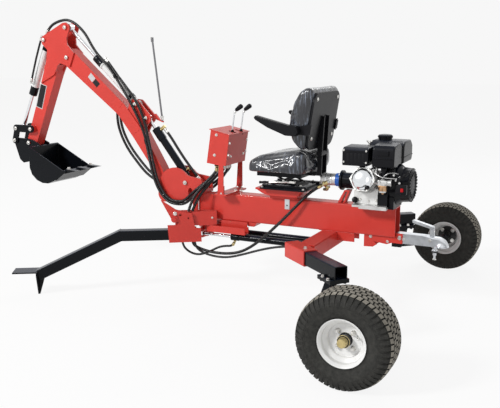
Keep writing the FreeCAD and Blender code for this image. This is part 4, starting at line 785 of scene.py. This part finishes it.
# body, foot, side it faces, tilt, half width inside, reach
SADDLES = (("boom", (-1965, -40, 1333), NEAR, 55, 11, 19),
           ("boom", (-1735, -40, 915), NEAR, 75, 24, 19),
           ("boom", (-2008, 40, 1176), FAR, 0, 22, 19),
           ("swing_post", (-1484, -64, 540), NEAR, 0, 20, 29))


def saddles():
    """Black clips that hold the hoses to boom and post."""
    for i, (body, spot, out, tilt, half, reach) in enumerate(SADDLES):
        bm = bmesh.new()
        turn = Quaternion((0, 1, 0), math.radians(tilt)).to_matrix()
        out = Vector(out)
        inside = half + 1.5
        arch = [(inside, 0)]
        for k in range(9):
            a = math.pi * k / 8
            arch.append((inside * math.cos(a), reach * 0.45 + reach * 0.55 * math.sin(a)))
        arch.append((-inside, 0))
        outer = [(x * (1 + 3 / inside), y + (3 if 0 < n < len(arch) - 1 else 0))
                 for n, (x, y) in enumerate(arch)]
        rings(bm, [[at(*spot) + turn @ (Vector((x, 0, w)) / 1000) + out * ((y - 1) / 1000)
                    for x, y in arch + outer[::-1]] for w in (-9, 9)])
        for s in (-1, 1):
            foot = at(*spot) + turn @ Vector((s * (half + 10) / 1000, 0, 0)) + out * 0.001
            bolt(bm, foot, out, 9, stud=False)
        piece("hose_clip_%d" % (i + 1), bm, "black_plastic", body)


# ------------------------------------------------------------------ seat
SWELL = 0.011            # the most that a cover swells, in metres
CLOTH = dict(vertex_group_mass="pins", quality=6, mass=0.35, tension_stiffness=22,
             compression_stiffness=22, shear_stiffness=12, bending_stiffness=1.2,
             use_pressure=True, uniform_pressure_force=4)
CLOTH_FRAMES = 20
BOLSTER_Y = 0.142        # of the grooves along both bolsters, in metres
MIDDLE_Y = 0.14


def upholstery(name, source, fixed, grooves):
    """A stuffed piece blown up by cloth from its CAD solid, then sewn and creased.
    A groove is a distance function, a depth and a width."""
    low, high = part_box(source)
    centre = (low + high) / 2
    mesh = NODES[source].data.copy()
    for v in mesh.vertices:
        v.co = centre + (v.co - centre) * 0.985
    obj = placed(name, mesh)
    assign(obj.modifiers.new("remesh", "REMESH"), mode="VOXEL", voxel_size=0.006)
    assign(obj.modifiers.new("rounded", "SMOOTH"), factor=0.6, iterations=26)
    mesh = obj.data = applied(obj)
    before = [v.co.copy() for v in mesh.vertices]
    pins = obj.vertex_groups.new(name="pins")
    pins.add([v.index for v in mesh.vertices if fixed(v.co)], 1.0, "REPLACE")
    settings = assign(obj.modifiers.new("cloth", "CLOTH").settings, **CLOTH)
    settings.effector_weights.gravity = 0
    for f in range(1, CLOTH_FRAMES + 1):
        bpy.context.scene.frame_set(f)
    swollen = applied(obj)
    obj.vertex_groups.clear()
    for v, w, b in zip(mesh.vertices, swollen.vertices, before):
        move = w.co - b
        if move.length > SWELL:
            move *= SWELL / move.length
        v.co = b + move
    bpy.data.meshes.remove(swollen)
    bpy.context.scene.frame_set(1)
    normals = [v.normal.copy() for v in mesh.vertices]
    for v, normal in zip(mesh.vertices, normals):
        sunk = sum(depth * math.exp(-(far(v.co) / width) ** 2) for far, depth, width in grooves)
        p = v.co * 1000
        fold = noise.noise(Vector((p.x * 0.021, p.y * 0.034, p.z * 0.026)) + Vector((3, 1, 7)))
        crease = max(0.0, 1 - abs(fold) * 7) * (0.4 + 0.6 * noise.noise(p * 0.009))
        free = 0.0 if fixed(v.co) else 1.0
        v.co -= normal * (sunk + free * 0.0016 * crease)
    mesh.materials.clear()
    mesh.materials.append(MATERIALS["black_vinyl"])
    mesh.shade_smooth()
    assign(obj.modifiers.new("smooth", "SUBSURF"), render_levels=1, levels=1)
    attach(obj, "frame")
    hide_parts(source)


def inside(value, low, high):
    """0 between two limits, growing with the distance past them."""
    return max(low - value, value - high, 0.0) / 0.012 * 0.01


def seat():
    pan = at(0, 0, BEAM_TOP + 176).z
    rear = [at(-566, 0, BEAM_TOP + 316), at(-515, 0, BEAM_TOP + 640)]
    away = (rear[1] - rear[0]).normalized()
    out = Vector((away.z, 0, -away.x))

    def bolster(p):
        return abs(abs(p.y) - BOLSTER_Y)

    def top(p):
        return inside(p.z, pan + 0.05, 2)

    def front(p):
        return inside((p - rear[0]).dot(out), -9, -0.03)

    def across(p):
        return inside(abs(p.y), -1, MIDDLE_Y)
    cushion = [(lambda p: bolster(p) + top(p), 0.0055, 0.007)]
    for x in (-690, -780):
        cushion.append((lambda p, line=at(x, 0, 0).x: abs(p.x - line) + across(p) + top(p),
                        0.0045, 0.007))
    upholstery("seat_cushion_cover", "seat_cushion", lambda p: p.z < pan + 0.007, cushion)
    back = [(lambda p: bolster(p) + front(p), 0.005, 0.007)]
    for z in (BEAM_TOP + 420, BEAM_TOP + 500, BEAM_TOP + 580):
        back.append((lambda p, line=z / 1000: abs(p.z - line) + across(p) + front(p),
                     0.005, 0.008))
    upholstery("seat_back_cover", "seat_backrest", lambda p: (p - rear[0]).dot(out) > -0.008, back)

    bm = bmesh.new()
    for y, z in ((-165, 1222), (165, 1222), (-165, 1000), (165, 1000)):
        _, spot, normal, _ = meet(["seat_back_shell"], (-300, y, z), ARM)
        lathe(bm, [(-1, 11), (2, 11), (5, 8.5), (6.2, 5), (6.4, 0)], spot, normal, 24)
    for x, y in ((-862, -138), (-862, 138), (-600, -138), (-600, 138)):
        fasten(bm, ["seat_slides"], (x, y, 720), DOWN, 12, UP)
    for side, _, out in SIDES:
        for x, z in ((-740, 737), (-846, 712), (-630, 712)):
            bolt(bm, at(x, side * 100, z), out, 11, stud=False)
    piece("seat_bolts", bm, "zinc")
    bm = bmesh.new()
    for side in (-1, 1):
        block(bm, (-700, side * 160 - 9, 736), (-640, side * 160 + 9, 748), 3)
        line = [(-660, side * 150, 742), (-690, side * 185, 744), (-760, side * 196, 742),
                (-800, side * 197, 738)]
        sweep(bm, route(line, 0.006), 0.005, 10)
    piece("seat_latches", bm, "zinc")
    bm = bmesh.new()
    for side in (-1, 1):
        line = [(-790, side * 197, 739), (-815, side * 197, 737), (-850, side * 197, 735)]
        sweep(bm, route(line, 0.004), lambda gone, a: 0.008 + 0.001 * math.sin(gone * 1400), 14)
    for i in range(7):
        x = -655 - 28 * i
        rings(bm, [[at(x + dx, y, 704 + dz)
                    for dx, dz in ((-12, 0), (-8, 8), (0, 11), (8, 8), (12, 0))]
                   for y in (-66, 66)])
    piece("seat_levers_and_bellows", bm, "black_plastic")


# ------------------------------------------------------------------ controls
LEVERS = ((-1121, -30, 1006), (-1104, 55, 1004))
LEVER_WAY = Vector((30, 0, 120)).normalized()
KNOB_WAY = Vector((39, 0, 28)).normalized()
KNOB = [(-4, 6.5), (0, 10.6), (8, 12.2), (24, 14.0), (40, 14.8), (46, 13.4), (50, 9), (51.5, 4),
        (51.8, 0)]
BOOT = [(-4, 17), (0, 17.5), (3, 15), (6, 15.6), (9, 12.6), (12, 13.2), (16, 10), (19, 10.4),
        (24, 6.4), (27, 6.2)]


def controls():
    """Knobs, boots and collars of the levers, and the bolts of their stand."""
    for name, outline, dx, dz, way, steps in (("lever_knobs", KNOB, 33, 132, KNOB_WAY, 28),
                                              ("lever_boots", BOOT, 2, -14, LEVER_WAY, 26)):
        bm = bmesh.new()
        for x, y, z in LEVERS:
            lathe(bm, outline, at(x + dx, y, z + dz), way, steps)
        piece(name, bm, "black_plastic")
    bm = bmesh.new()
    for x, y, z in LEVERS:
        lathe(bm, [(0, 6.6), (9, 6.6), (10, 6)], at(x + 25, y, z + 114), LEVER_WAY, 20)
    for y in PORT_Y:
        hexagon(bm, at(PORT_X, y, 803), DOWN, 24, 7.5, 0.2)
    piece("lever_and_port_collars", bm, "zinc")
    bm = bmesh.new()
    stand = ["control_stand"]
    for side, way, out in SIDES:
        for x, z in ((-1172, 992), (-1187, 868)):
            fasten(bm, stand, (x, side * 300, z), way, 13, out, False)
        for y, z in ((118, 943), (118, 871), (86, 860)):
            fasten(bm, stand, (-900, side * y, z), ARM, 12, stud=False)
        bolt(bm, at(-1145, side * 124, 629), UP, 15)
    piece("stand_bolts", bm, "zinc")


# ------------------------------------------------------------------ engine
HEAD_TILT = math.radians(14)
HEAD_WAY = Vector((0, -math.cos(HEAD_TILT), math.sin(HEAD_TILT)))
HEAD = at(-233, -30, CRANK_Z + 5)
SHROUD = ((-130, 634), (-127, 700), (-117, 734), (-72, 794), (-66, 850), (-58, 858), (64, 858),
          (98, 812), (108, 752), (118, 700), (120, 634))
SHROUD_FOOT = 634
CAP_AT = (-180, 64)          # middle of the tank's cap
TANK = ((-251, -25), (-45, -25), (-45, 181), (-251, 181))
TANK_ROUND = 14


def on_head(distance, radius, angle):
    """A place along the rocker cover's axis and off it."""
    side, up = Vector((1, 0, 0)), Vector((1, 0, 0)).cross(HEAD_WAY)
    aside = side * math.cos(angle) + up * math.sin(angle)
    return HEAD + HEAD_WAY * (distance / 1000) + aside * (radius / 1000)


def carburettor():
    bm = bmesh.new()
    lathe(bm, [(0, 24.5), (4, 24.5), (5, 23.2), (24, 23.2), (34, 19), (39, 11), (40, 6.5),
               (45, 6.5), (46, 0)], at(-124, -152, 759), DOWN, 36)
    block(bm, (-146, -172, 754), (-100, -134, 762), 2)
    piece("carburettor_bowl", bm, "brass")
    bm = bmesh.new()
    block(bm, (-150, -170, 760), (-98, -130, 792), 5)
    lathe(bm, [(0, 17), (14, 17), (15, 20), (20, 20), (21, 15)], at(-98, -150, 778),
          (1, 0.1, 0), 26)
    lathe(bm, [(0, 15), (18, 15), (19, 19), (24, 19), (25, 12)], at(-150, -146, 778),
          (-1, 0.25, 0), 26)
    block(bm, (-196, -150, 812), (-150, -112, 824), 3)
    block(bm, (-190, -158, 826), (-176, -146, 868), 3)
    lathe(bm, [(0, 11), (10, 11), (11, 8), (20, 8), (21, 5), (34, 5)], at(-168, -150, 824),
          (0.2, -0.2, 1), 20)
    for place in ((-112, -172, 770), (-138, -172, 784), (-60, -124, 790), (-40, -124, 806),
                  (-40, -124, 776), (-72, -126, 818)):
        bolt(bm, at(*place), NEAR, 9, stud=False)
    for radius, line in (
            (0.0022, [(-170, -160, 830), (-140, -176, 812), (-100, -170, 806), (-52, -132, 800)]),
            (0.0018, [(-130, -160, 796), (-110, -170, 826), (-70, -150, 838), (-46, -130, 826)])):
        sweep(bm, route(line, 0.005), radius, 8)
    piece("carburettor_body", bm, "cast_aluminium")


def engine():
    bm = bmesh.new()
    lathe(bm, [(157, 61), (159.5, 61), (161, 58.5), (163, 58), (170, 55), (176, 49.5), (181, 40),
               (184.5, 27), (186, 14), (186.3, 0)], HEAD, HEAD_WAY, 60)
    piece("rocker_cover", bm, "polished_aluminium")
    bm = bmesh.new()
    for angle in range(0, 360, 60):
        bolt(bm, on_head(158, 66.5, math.radians(angle)), HEAD_WAY, 9, stud=False)
    for x, z in ((-262, 668), (-215, 662), (-170, 668), (-158, 722), (-276, 716)):
        fasten(bm, ["crankcase"], (x, -400, z), FAR, 11, stud=False)
    for x in (-246, -125):
        for y in (-140, 102):
            bolt(bm, at(x, y, BEAM_TOP + 12), UP, 13)
    piece("engine_bolts", bm, "zinc")

    bm = bmesh.new()
    rings(bm, [[at(x, y * k, SHROUD_FOOT + (z - SHROUD_FOOT) * k) for y, z in SHROUD]
               for x, k in ((-160, 0.975), (-158, 1.0), (-106, 1.0), (-104, 0.99))])
    piece("engine_shroud", bm, "engine_black", angle=25)
    carburettor()

    bm = bmesh.new()
    for radius, line in (
            (0.0045, [(-220, -150, 832), (-196, -164, 846), (-170, -160, 862), (-148, -120, 868)]),
            (0.0042, [(-96, -60, 872), (-90, -120, 850), (-100, -164, 824), (-112, -166, 796)])):
        sweep(bm, route(line, 0.005), radius, 10)
    block(bm, (-60, -134, 712), (2, -104, 768), 5)
    block(bm, (-96, -122, 770), (-70, -100, 850), 3)
    grip = [(-52, -126, 784), (-30, -134, 806), (-8, -136, 826), (14, -130, 842)]
    sweep(bm, route(grip, 0.004), lambda gone, a: 0.009 - 0.002 * math.cos(gone * 160), 16)
    lathe(bm, [(0, 17), (8, 17), (10, 15), (12, 10), (22, 9), (23, 6)], at(-288, -126, 664),
          (0, -1, 0.35), 24)
    lathe(bm, [(0, 9), (16, 9), (20, 12), (34, 12), (38, 8)], on_head(150, 60, math.radians(70)),
          (0.5, -0.5, 0.6), 20)
    for a in around(24):   # vents of the starter's cover
        radial = Vector((0, math.cos(a), math.sin(a)))
        cross = Vector((0, -math.sin(a), math.cos(a)))
        for r0, r1, x in ((64, 79, 9.5), (84, 95, 1.0)):
            quad = [at(x, 0, CRANK_Z) + radial * (r / 1000) + cross * (s * r * 0.00005)
                    for r, s in ((r0, -1), (r1, -1), (r1, 1), (r0, 1))]
            rings(bm, [[q + Vector((dx, 0, 0)) for q in quad] for dx in (-0.004, 0.0025)])
    lathe(bm, [(0, 56), (3, 56), (5, 53), (6, 49), (6.5, 0)], at(0, 0, CRANK_Z), TOW, 48)
    piece("engine_black_parts", bm, "black_plastic")
    bm = bmesh.new()
    block(bm, (-30, -140, 730), (-14, -133, 750), 2)
    piece("engine_switch", bm, "red_plastic")

    bm = bmesh.new()
    x, y = CAP_AT
    lathe(bm, [(0, 36), (2, 40), (10, 41), (14, 41), (19, 36), (21, 24), (21.5, 0)],
          at(x, y, 1000), UP, 48)
    for a in around(24):
        lathe(bm, [(0, 2.2), (9, 2.2), (10, 1.4)],
              at(x + 40.4 * math.cos(a), y + 40.4 * math.sin(a), 1003), UP, 8)
    seam = []
    for k, (x, y) in enumerate(TANK):
        cx = x + (TANK_ROUND if k in (0, 3) else -TANK_ROUND)
        cy = y + (TANK_ROUND if k in (0, 1) else -TANK_ROUND)
        for t in range(5):
            a = math.radians(180 + 90 * k + 22.5 * t)
            seam.append((cx + TANK_ROUND * math.cos(a), cy + TANK_ROUND * math.sin(a)))
    rings(bm, [[at(x, y, z) for x, y in seam] for z in (903, 907)])
    block(bm, (-176, -198, 912), (-60, -192, 918), 2)
    block(bm, (-150, -197, 930), (-86, -193, 958), 2)
    piece("tank_trim", bm, "engine_black")
    bm = bmesh.new()
    for x, z in ((-340, 886), (-340, 950), (-212, 886), (-212, 950)):
        fasten(bm, ["muffler"], (x, -400, z), FAR, 8, NEAR, False)
    lathe(bm, [(0, 6), (10, 6), (12, 9), (18, 9), (19, 5)], at(-234, -60, 968), UP, 20)
    for s in (-1, 1):
        lathe(bm, [(0, 3), (10, 6), (16, 6), (20, 3)], at(-234, -60, 982), (s, 0, 0.8), 12)
    piece("engine_top_fittings", bm, "zinc")
    # painted shade: black bars on the muffler's face stand for the shade inside its slots
    bm = bmesh.new()
    for i in range(5):
        block(bm, (-324 + 22 * i, -190.5, 886), (-310 + 22 * i, -186, 936), 1.5)
    piece("muffler_slot_shade", bm, "black_plastic")


def pump():
    """Bolts, ports and bands of the pump and its bell."""
    def on_face(x, radius, degrees):
        a = math.radians(degrees)
        return at(x, radius * math.cos(a), CRANK_Z + radius * math.sin(a))
    bm = bmesh.new()
    for angle in range(45, 360, 90):
        bolt(bm, on_face(-413, 50, angle), ARM, 11, stud=False)
        bolt(bm, on_face(-537, 20, angle), ARM, 8, stud=False)
    for angle in range(30, 360, 60):
        lathe(bm, [(-2, 4), (4, 4), (5, 3)], on_face(-444, 31, angle), ARM, 14)
    piece("pump_bolts", bm, "zinc")
    bm = bmesh.new()
    inlet = at(-514, -40, 721)
    way = Vector((33, 12, 20)).normalized()
    hexagon(bm, inlet + way * 0.002, way, 28, 12, 0.2)
    lathe(bm, [(12, 13.5), (26, 13.5), (30, 12.5)], inlet, way, 24)
    lathe(bm, [(0, 13.6), (5, 13.6), (6, 16), (14, 16), (15, 12)], at(-500, 0, 712), DOWN, 24)
    elbow = [(-500, 0, 700), (-500, 2, 688), (-512, 8, 684), (-528, 14, 684)]
    sweep(bm, route(elbow, 0.003), 0.0085, 14)
    piece("pump_ports", bm, "yellow_zinc")
    bm = bmesh.new()
    for x in (-470, -500):
        lathe(bm, [(0, 37.2), (5, 37.2)], at(x, 0, CRANK_Z), ARM, 44)
    piece("pump_bands", bm, "polished_aluminium")


# ------------------------------------------------------------------ fasteners, welds, plates
# X and Z of the arm's pins
PINS = ((-1592, 585), (-1437, 670), (-1746, 1068), (-1829, 1155), (-2357, 1455), (-2359, 1652),
        (-2548, 1573), (-2691, 962), (-2824, 963), (-2849, 876), (-2729, 862))
# start on the near side, way, width across flats, and whether the far side has one too
FRAME_BOLTS = (((-1410, -400, 503), FAR, 17, True), ((-1222, -400, 470), FAR, 9, True),
               ((-467, -560, 300), UP, 12, False), ((-30, -300, 440), FAR, 13, True),
               ((-52, -300, 452), FAR, 13, True), ((-220, -300, 440), FAR, 13, True),
               ((-120, -300, 420), FAR, 11, True))
CLAMP_BELOW = ((-178, 700), (-150, 724), (-240, 648), (-212, 672))
CLAMP_ABOVE = ((-218, 738), (-262, 694), (-172, 640), (-217, 603))
ARMS = ["axle_arm_left", "axle_arm_right"]


def pin_heads():
    """Zinc retaining bolts and grease nipples on both ends of each pin of the arm."""
    made = {}
    for x, z in PINS:
        for side, way, out in SIDES:
            found = meet(HARD, (x, side * 260, z), way)
            if not found or abs(found[2].y) < 0.9:
                continue
            bm = made.setdefault(BODY_OF[found[0]], bmesh.new())
            lathe(bm, [(-1, 13.5), (2.2, 13.5), (3.2, 12.2)], found[1], out)
            hexagon(bm, found[1] + Vector(out) * 0.003, out, 15, 6.5, 0.4)
            lathe(bm, [(6, 2.6), (12, 2.6), (13, 3.4), (15, 3.4), (16.5, 1.6)], found[1], out, 12)
    for body, bm in made.items():
        piece("pin_heads_" + body, bm, "zinc", body)


def frame_bolts():
    bm = bmesh.new()
    for (x, y, z), way, across, both in FRAME_BOLTS:
        for side in (1, -1) if both else (1,):
            found = meet(HARD, (x, y * side, z), (way[0], way[1] * side, way[2]))
            if found and BODY_OF[found[0]] == "frame":
                bolt(bm, found[1], found[2], across)
    for side in (-1, 1):
        for x, y in CLAMP_BELOW:
            fasten(bm, ["hub_carrier_left", "hub_carrier_right"], (x, side * y, 100), UP, 14, DOWN)
        for x, y in CLAMP_ABOVE:
            fasten(bm, ARMS, (x, side * y, 600), DOWN, 16, UP)
        fasten(bm, ["axle_crossmember"], (-440, side * 492, 600), DOWN, 16, UP)
        fasten(bm, ARMS, (-150, side * 735, 600), DOWN, 12, UP)
    piece("frame_bolts", bm, "zinc")

    bm = bmesh.new()
    for x, y in ((-1125, 30), (-1090, 36)):
        block(bm, (x - 9, y - 9, 620), (x + 9, y + 9, 634), 3)
        lathe(bm, [(0, 4), (18, 4), (19, 7), (26, 7), (27, 4)], at(x, y, 632), (0.4, 0, 1), 14)
    piece("beam_top_fittings", bm, "zinc")


def strap():
    """A zinc strap on the beam's near side, with two holes whose shade is painted as black discs.
    """
    face, middle, holes = -54.2, -735.5, (580, 622)
    bm = bmesh.new()
    slab(bm, [(-751, 556), (-720, 556), (-720, 646), (-751, 646)], face, -50.6, 0.8)
    for z in holes:
        lathe(bm, [(-0.5, 7.5), (0.6, 7.5), (0.9, 5.5)], at(middle, face, z), NEAR, 24)
    piece("zinc_strap", bm, "galvanised_steel")
    bm = bmesh.new()
    # painted shade: black discs stand for the shade inside the two holes
    for z in holes:
        lathe(bm, [(0.2, 5), (1.2, 4.6)], at(middle, face, z), NEAR, 20)
    piece("zinc_strap_hole_shade", bm, "black_plastic")


# name, body, a place that looks at its face, corners, height off the face, material
PLATES = (
    ("boom_plate_white", "boom", (-2145, -300, 1305),
     [(-2195, 1327), (-2169, 1354), (-2134, 1318), (-2161, 1292)], 0, "label"),
    ("boom_plate_black", "boom", (-2145, -300, 1305),
     [(-2159, 1290), (-2132, 1316), (-2098, 1282), (-2126, 1257)], 0, "black_label"),
    ("stick_plate_border", "stick", (-2605, -300, 1190),
     [(-2660, 1118), (-2607, 1280), (-2552, 1262), (-2605, 1100)], 0, "label"),
    ("stick_plate", "stick", (-2605, -300, 1190),
     [(-2654, 1122), (-2604, 1274), (-2558, 1259), (-2608, 1107)], 0.7, "black_label"))


def plates():
    """Blank plates where the machine carries stickers, left bare."""
    for name, body, start, corners, off, look in PLATES:
        y = meet([body], start, FAR)[1].y * 1000 - off
        bm = bmesh.new()
        slab(bm, corners, y - 0.7, y + 0.4, 0.25)
        piece(name, bm, look, body)


def bead(bm, start, end, radius):
    """A straight weld bead."""
    a, b = at(*start), at(*end)
    count = max(2, int((b - a).length / 0.0022))
    line = [a.lerp(b, i / count) for i in range(count)] + [b]
    sweep(bm, line, lambda gone, a: (radius + 0.45 * math.sin(gone * 1100)) / 1000, 8)


# body, Y of both beads, the (x, z) ends of the run, radius
WELDS = (("frame", 50.5, (-1186, 618.5), (-1104, 618.5), 2.2),
         ("frame", 50.5, (-840, 619), (-660, 619), 2.2),
         ("frame", 50.8, (-530, 451), (-313, 451), 1.8),
         ("frame", 50.5, (-1240, 610), (-1240, 452), 2.2),
         ("boom", 40.4, (-1840, 960), (-1770, 1008), 1.5),
         ("boom", 40.4, (-1954, 1120), (-1911, 1174), 1.5))


def welds():
    for body in ("frame", "boom"):
        bm = bmesh.new()
        for s in (-1, 1):
            for owner, y, a, b, radius in WELDS:
                if owner == body:
                    bead(bm, (a[0], s * y, a[1]), (b[0], s * y, b[1]), radius)
        piece(body + "_welds", bm, "red_paint", body)


COLLARS = {"dipper_barrel": ((-1829, 0, 1155), (-2359, 0, 1652), 76),
           "bucket_barrel": ((-2548, 0, 1573), (-2824, 0, 963), 66)}   # foot, eye, gland
ROD_CLEARANCE = 19.0


def sleeve(bm, profile, inner, start, way, steps=44):
    """A turned tube: the outer profile, and one inner radius."""
    side = way.orthogonal().normalized()
    up = way.cross(side)
    section = profile + [(profile[-1][0], inner), (profile[0][0], inner)]
    loops = []
    for angle in around(steps):
        radial = side * math.cos(angle) + up * math.sin(angle)
        loops.append([start + way * (along / 1000) + radial * (radius / 1000)
                      for along, radius in section])
    rings(bm, loops, closed=True)


def collars():
    """Black gland sleeve and black foot on each white cylinder."""
    for name, (foot, eye, gland) in COLLARS.items():
        start, way = at(*foot), (at(*eye) - at(*foot)).normalized()
        reach = max((v.co - start).dot(way) for v in NODES[name].data.vertices) * 1000
        bm = bmesh.new()
        sleeve(bm, [(reach - gland, 24.6), (reach - gland + 2, 28.9), (reach - 42, 28.9),
                    (reach - 41, 28.4), (reach - 38, 28.4), (reach - 37, 28.9),
                    (reach - 3, 28.9), (reach + 0.6, 26.5)], ROD_CLEARANCE, start, way)
        sleeve(bm, [(50, 24.4), (51, 25.4), (76, 25.4), (77, 24.4)], 23.0, start, way)
        piece("collars_" + name, bm, "black_paint", BODY_OF[name])


def bucket_wear():
    """Cutting edge bolts and side bolts of the bucket."""
    bm = bmesh.new()
    for y in (-118, -40, 40, 118):
        fasten(bm, ["bucket"], (-2330, y, 900), DOWN, 19, stud=False)
    for side, way, out in SIDES:
        for x, z in ((-2330, 716), (-2410, 742)):
            fasten(bm, ["bucket"], (x, side * 300, z), way, 11, out, False)
    piece("bucket_bolts", bm, "zinc", "bucket")


def coupler():
    """Bolts of the coupler, and what shows of its lock."""
    bm = bmesh.new()
    for side, way, out in SIDES:
        fasten(bm, ["tow_coupler"], (118, side * 300, 448), way, 13, out)
        fasten(bm, HARD, (-52, side * 300, 446), way, 15, out)
    hexagon(bm, at(142.6, 0, 340), DOWN, 18, 5)
    lathe(bm, [(0, 3), (20, 3), (22, 8), (26, 8), (27, 3)], at(125, 0, 474), (0.3, 0, 1), 14)
    piece("coupler_bolts", bm, "zinc")
    bm = bmesh.new()
    lathe(bm, [(-1, 18), (3, 18.5), (7, 17)], at(142.6, 0, 386), DOWN, 30)
    piece("coupler_washer", bm, "black_plastic")


def marker():
    """Tip and foot of the depth marker's rod."""
    low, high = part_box("marker_rod")
    top = Vector((low.x + 0.006, (low.y + high.y) / 2, high.z - 0.012))
    way = (at(-1721, 26, 1576) - at(-1657, 26, 1049)).normalized()
    bm = bmesh.new()
    lathe(bm, [(-6, 8), (10, 8), (12, 6.5), (14, 0)], top, way, 20)
    lathe(bm, [(0, 9), (14, 9), (15, 11), (24, 11), (25, 7)], at(-1657, 26, 1055), way, 20)
    piece("marker_ends", bm, "zinc", "boom")


camera()
studio()
make_materials()
dress_nodes()
for word, side in (("left", -1), ("right", 1)):
    tyre(word, side)
    wheel_trim(word, side)
for build in (hoses, saddles, seat, controls, engine, pump, pin_heads, frame_bolts, strap, plates,
              welds, collars, bucket_wear, coupler, marker):
    build()
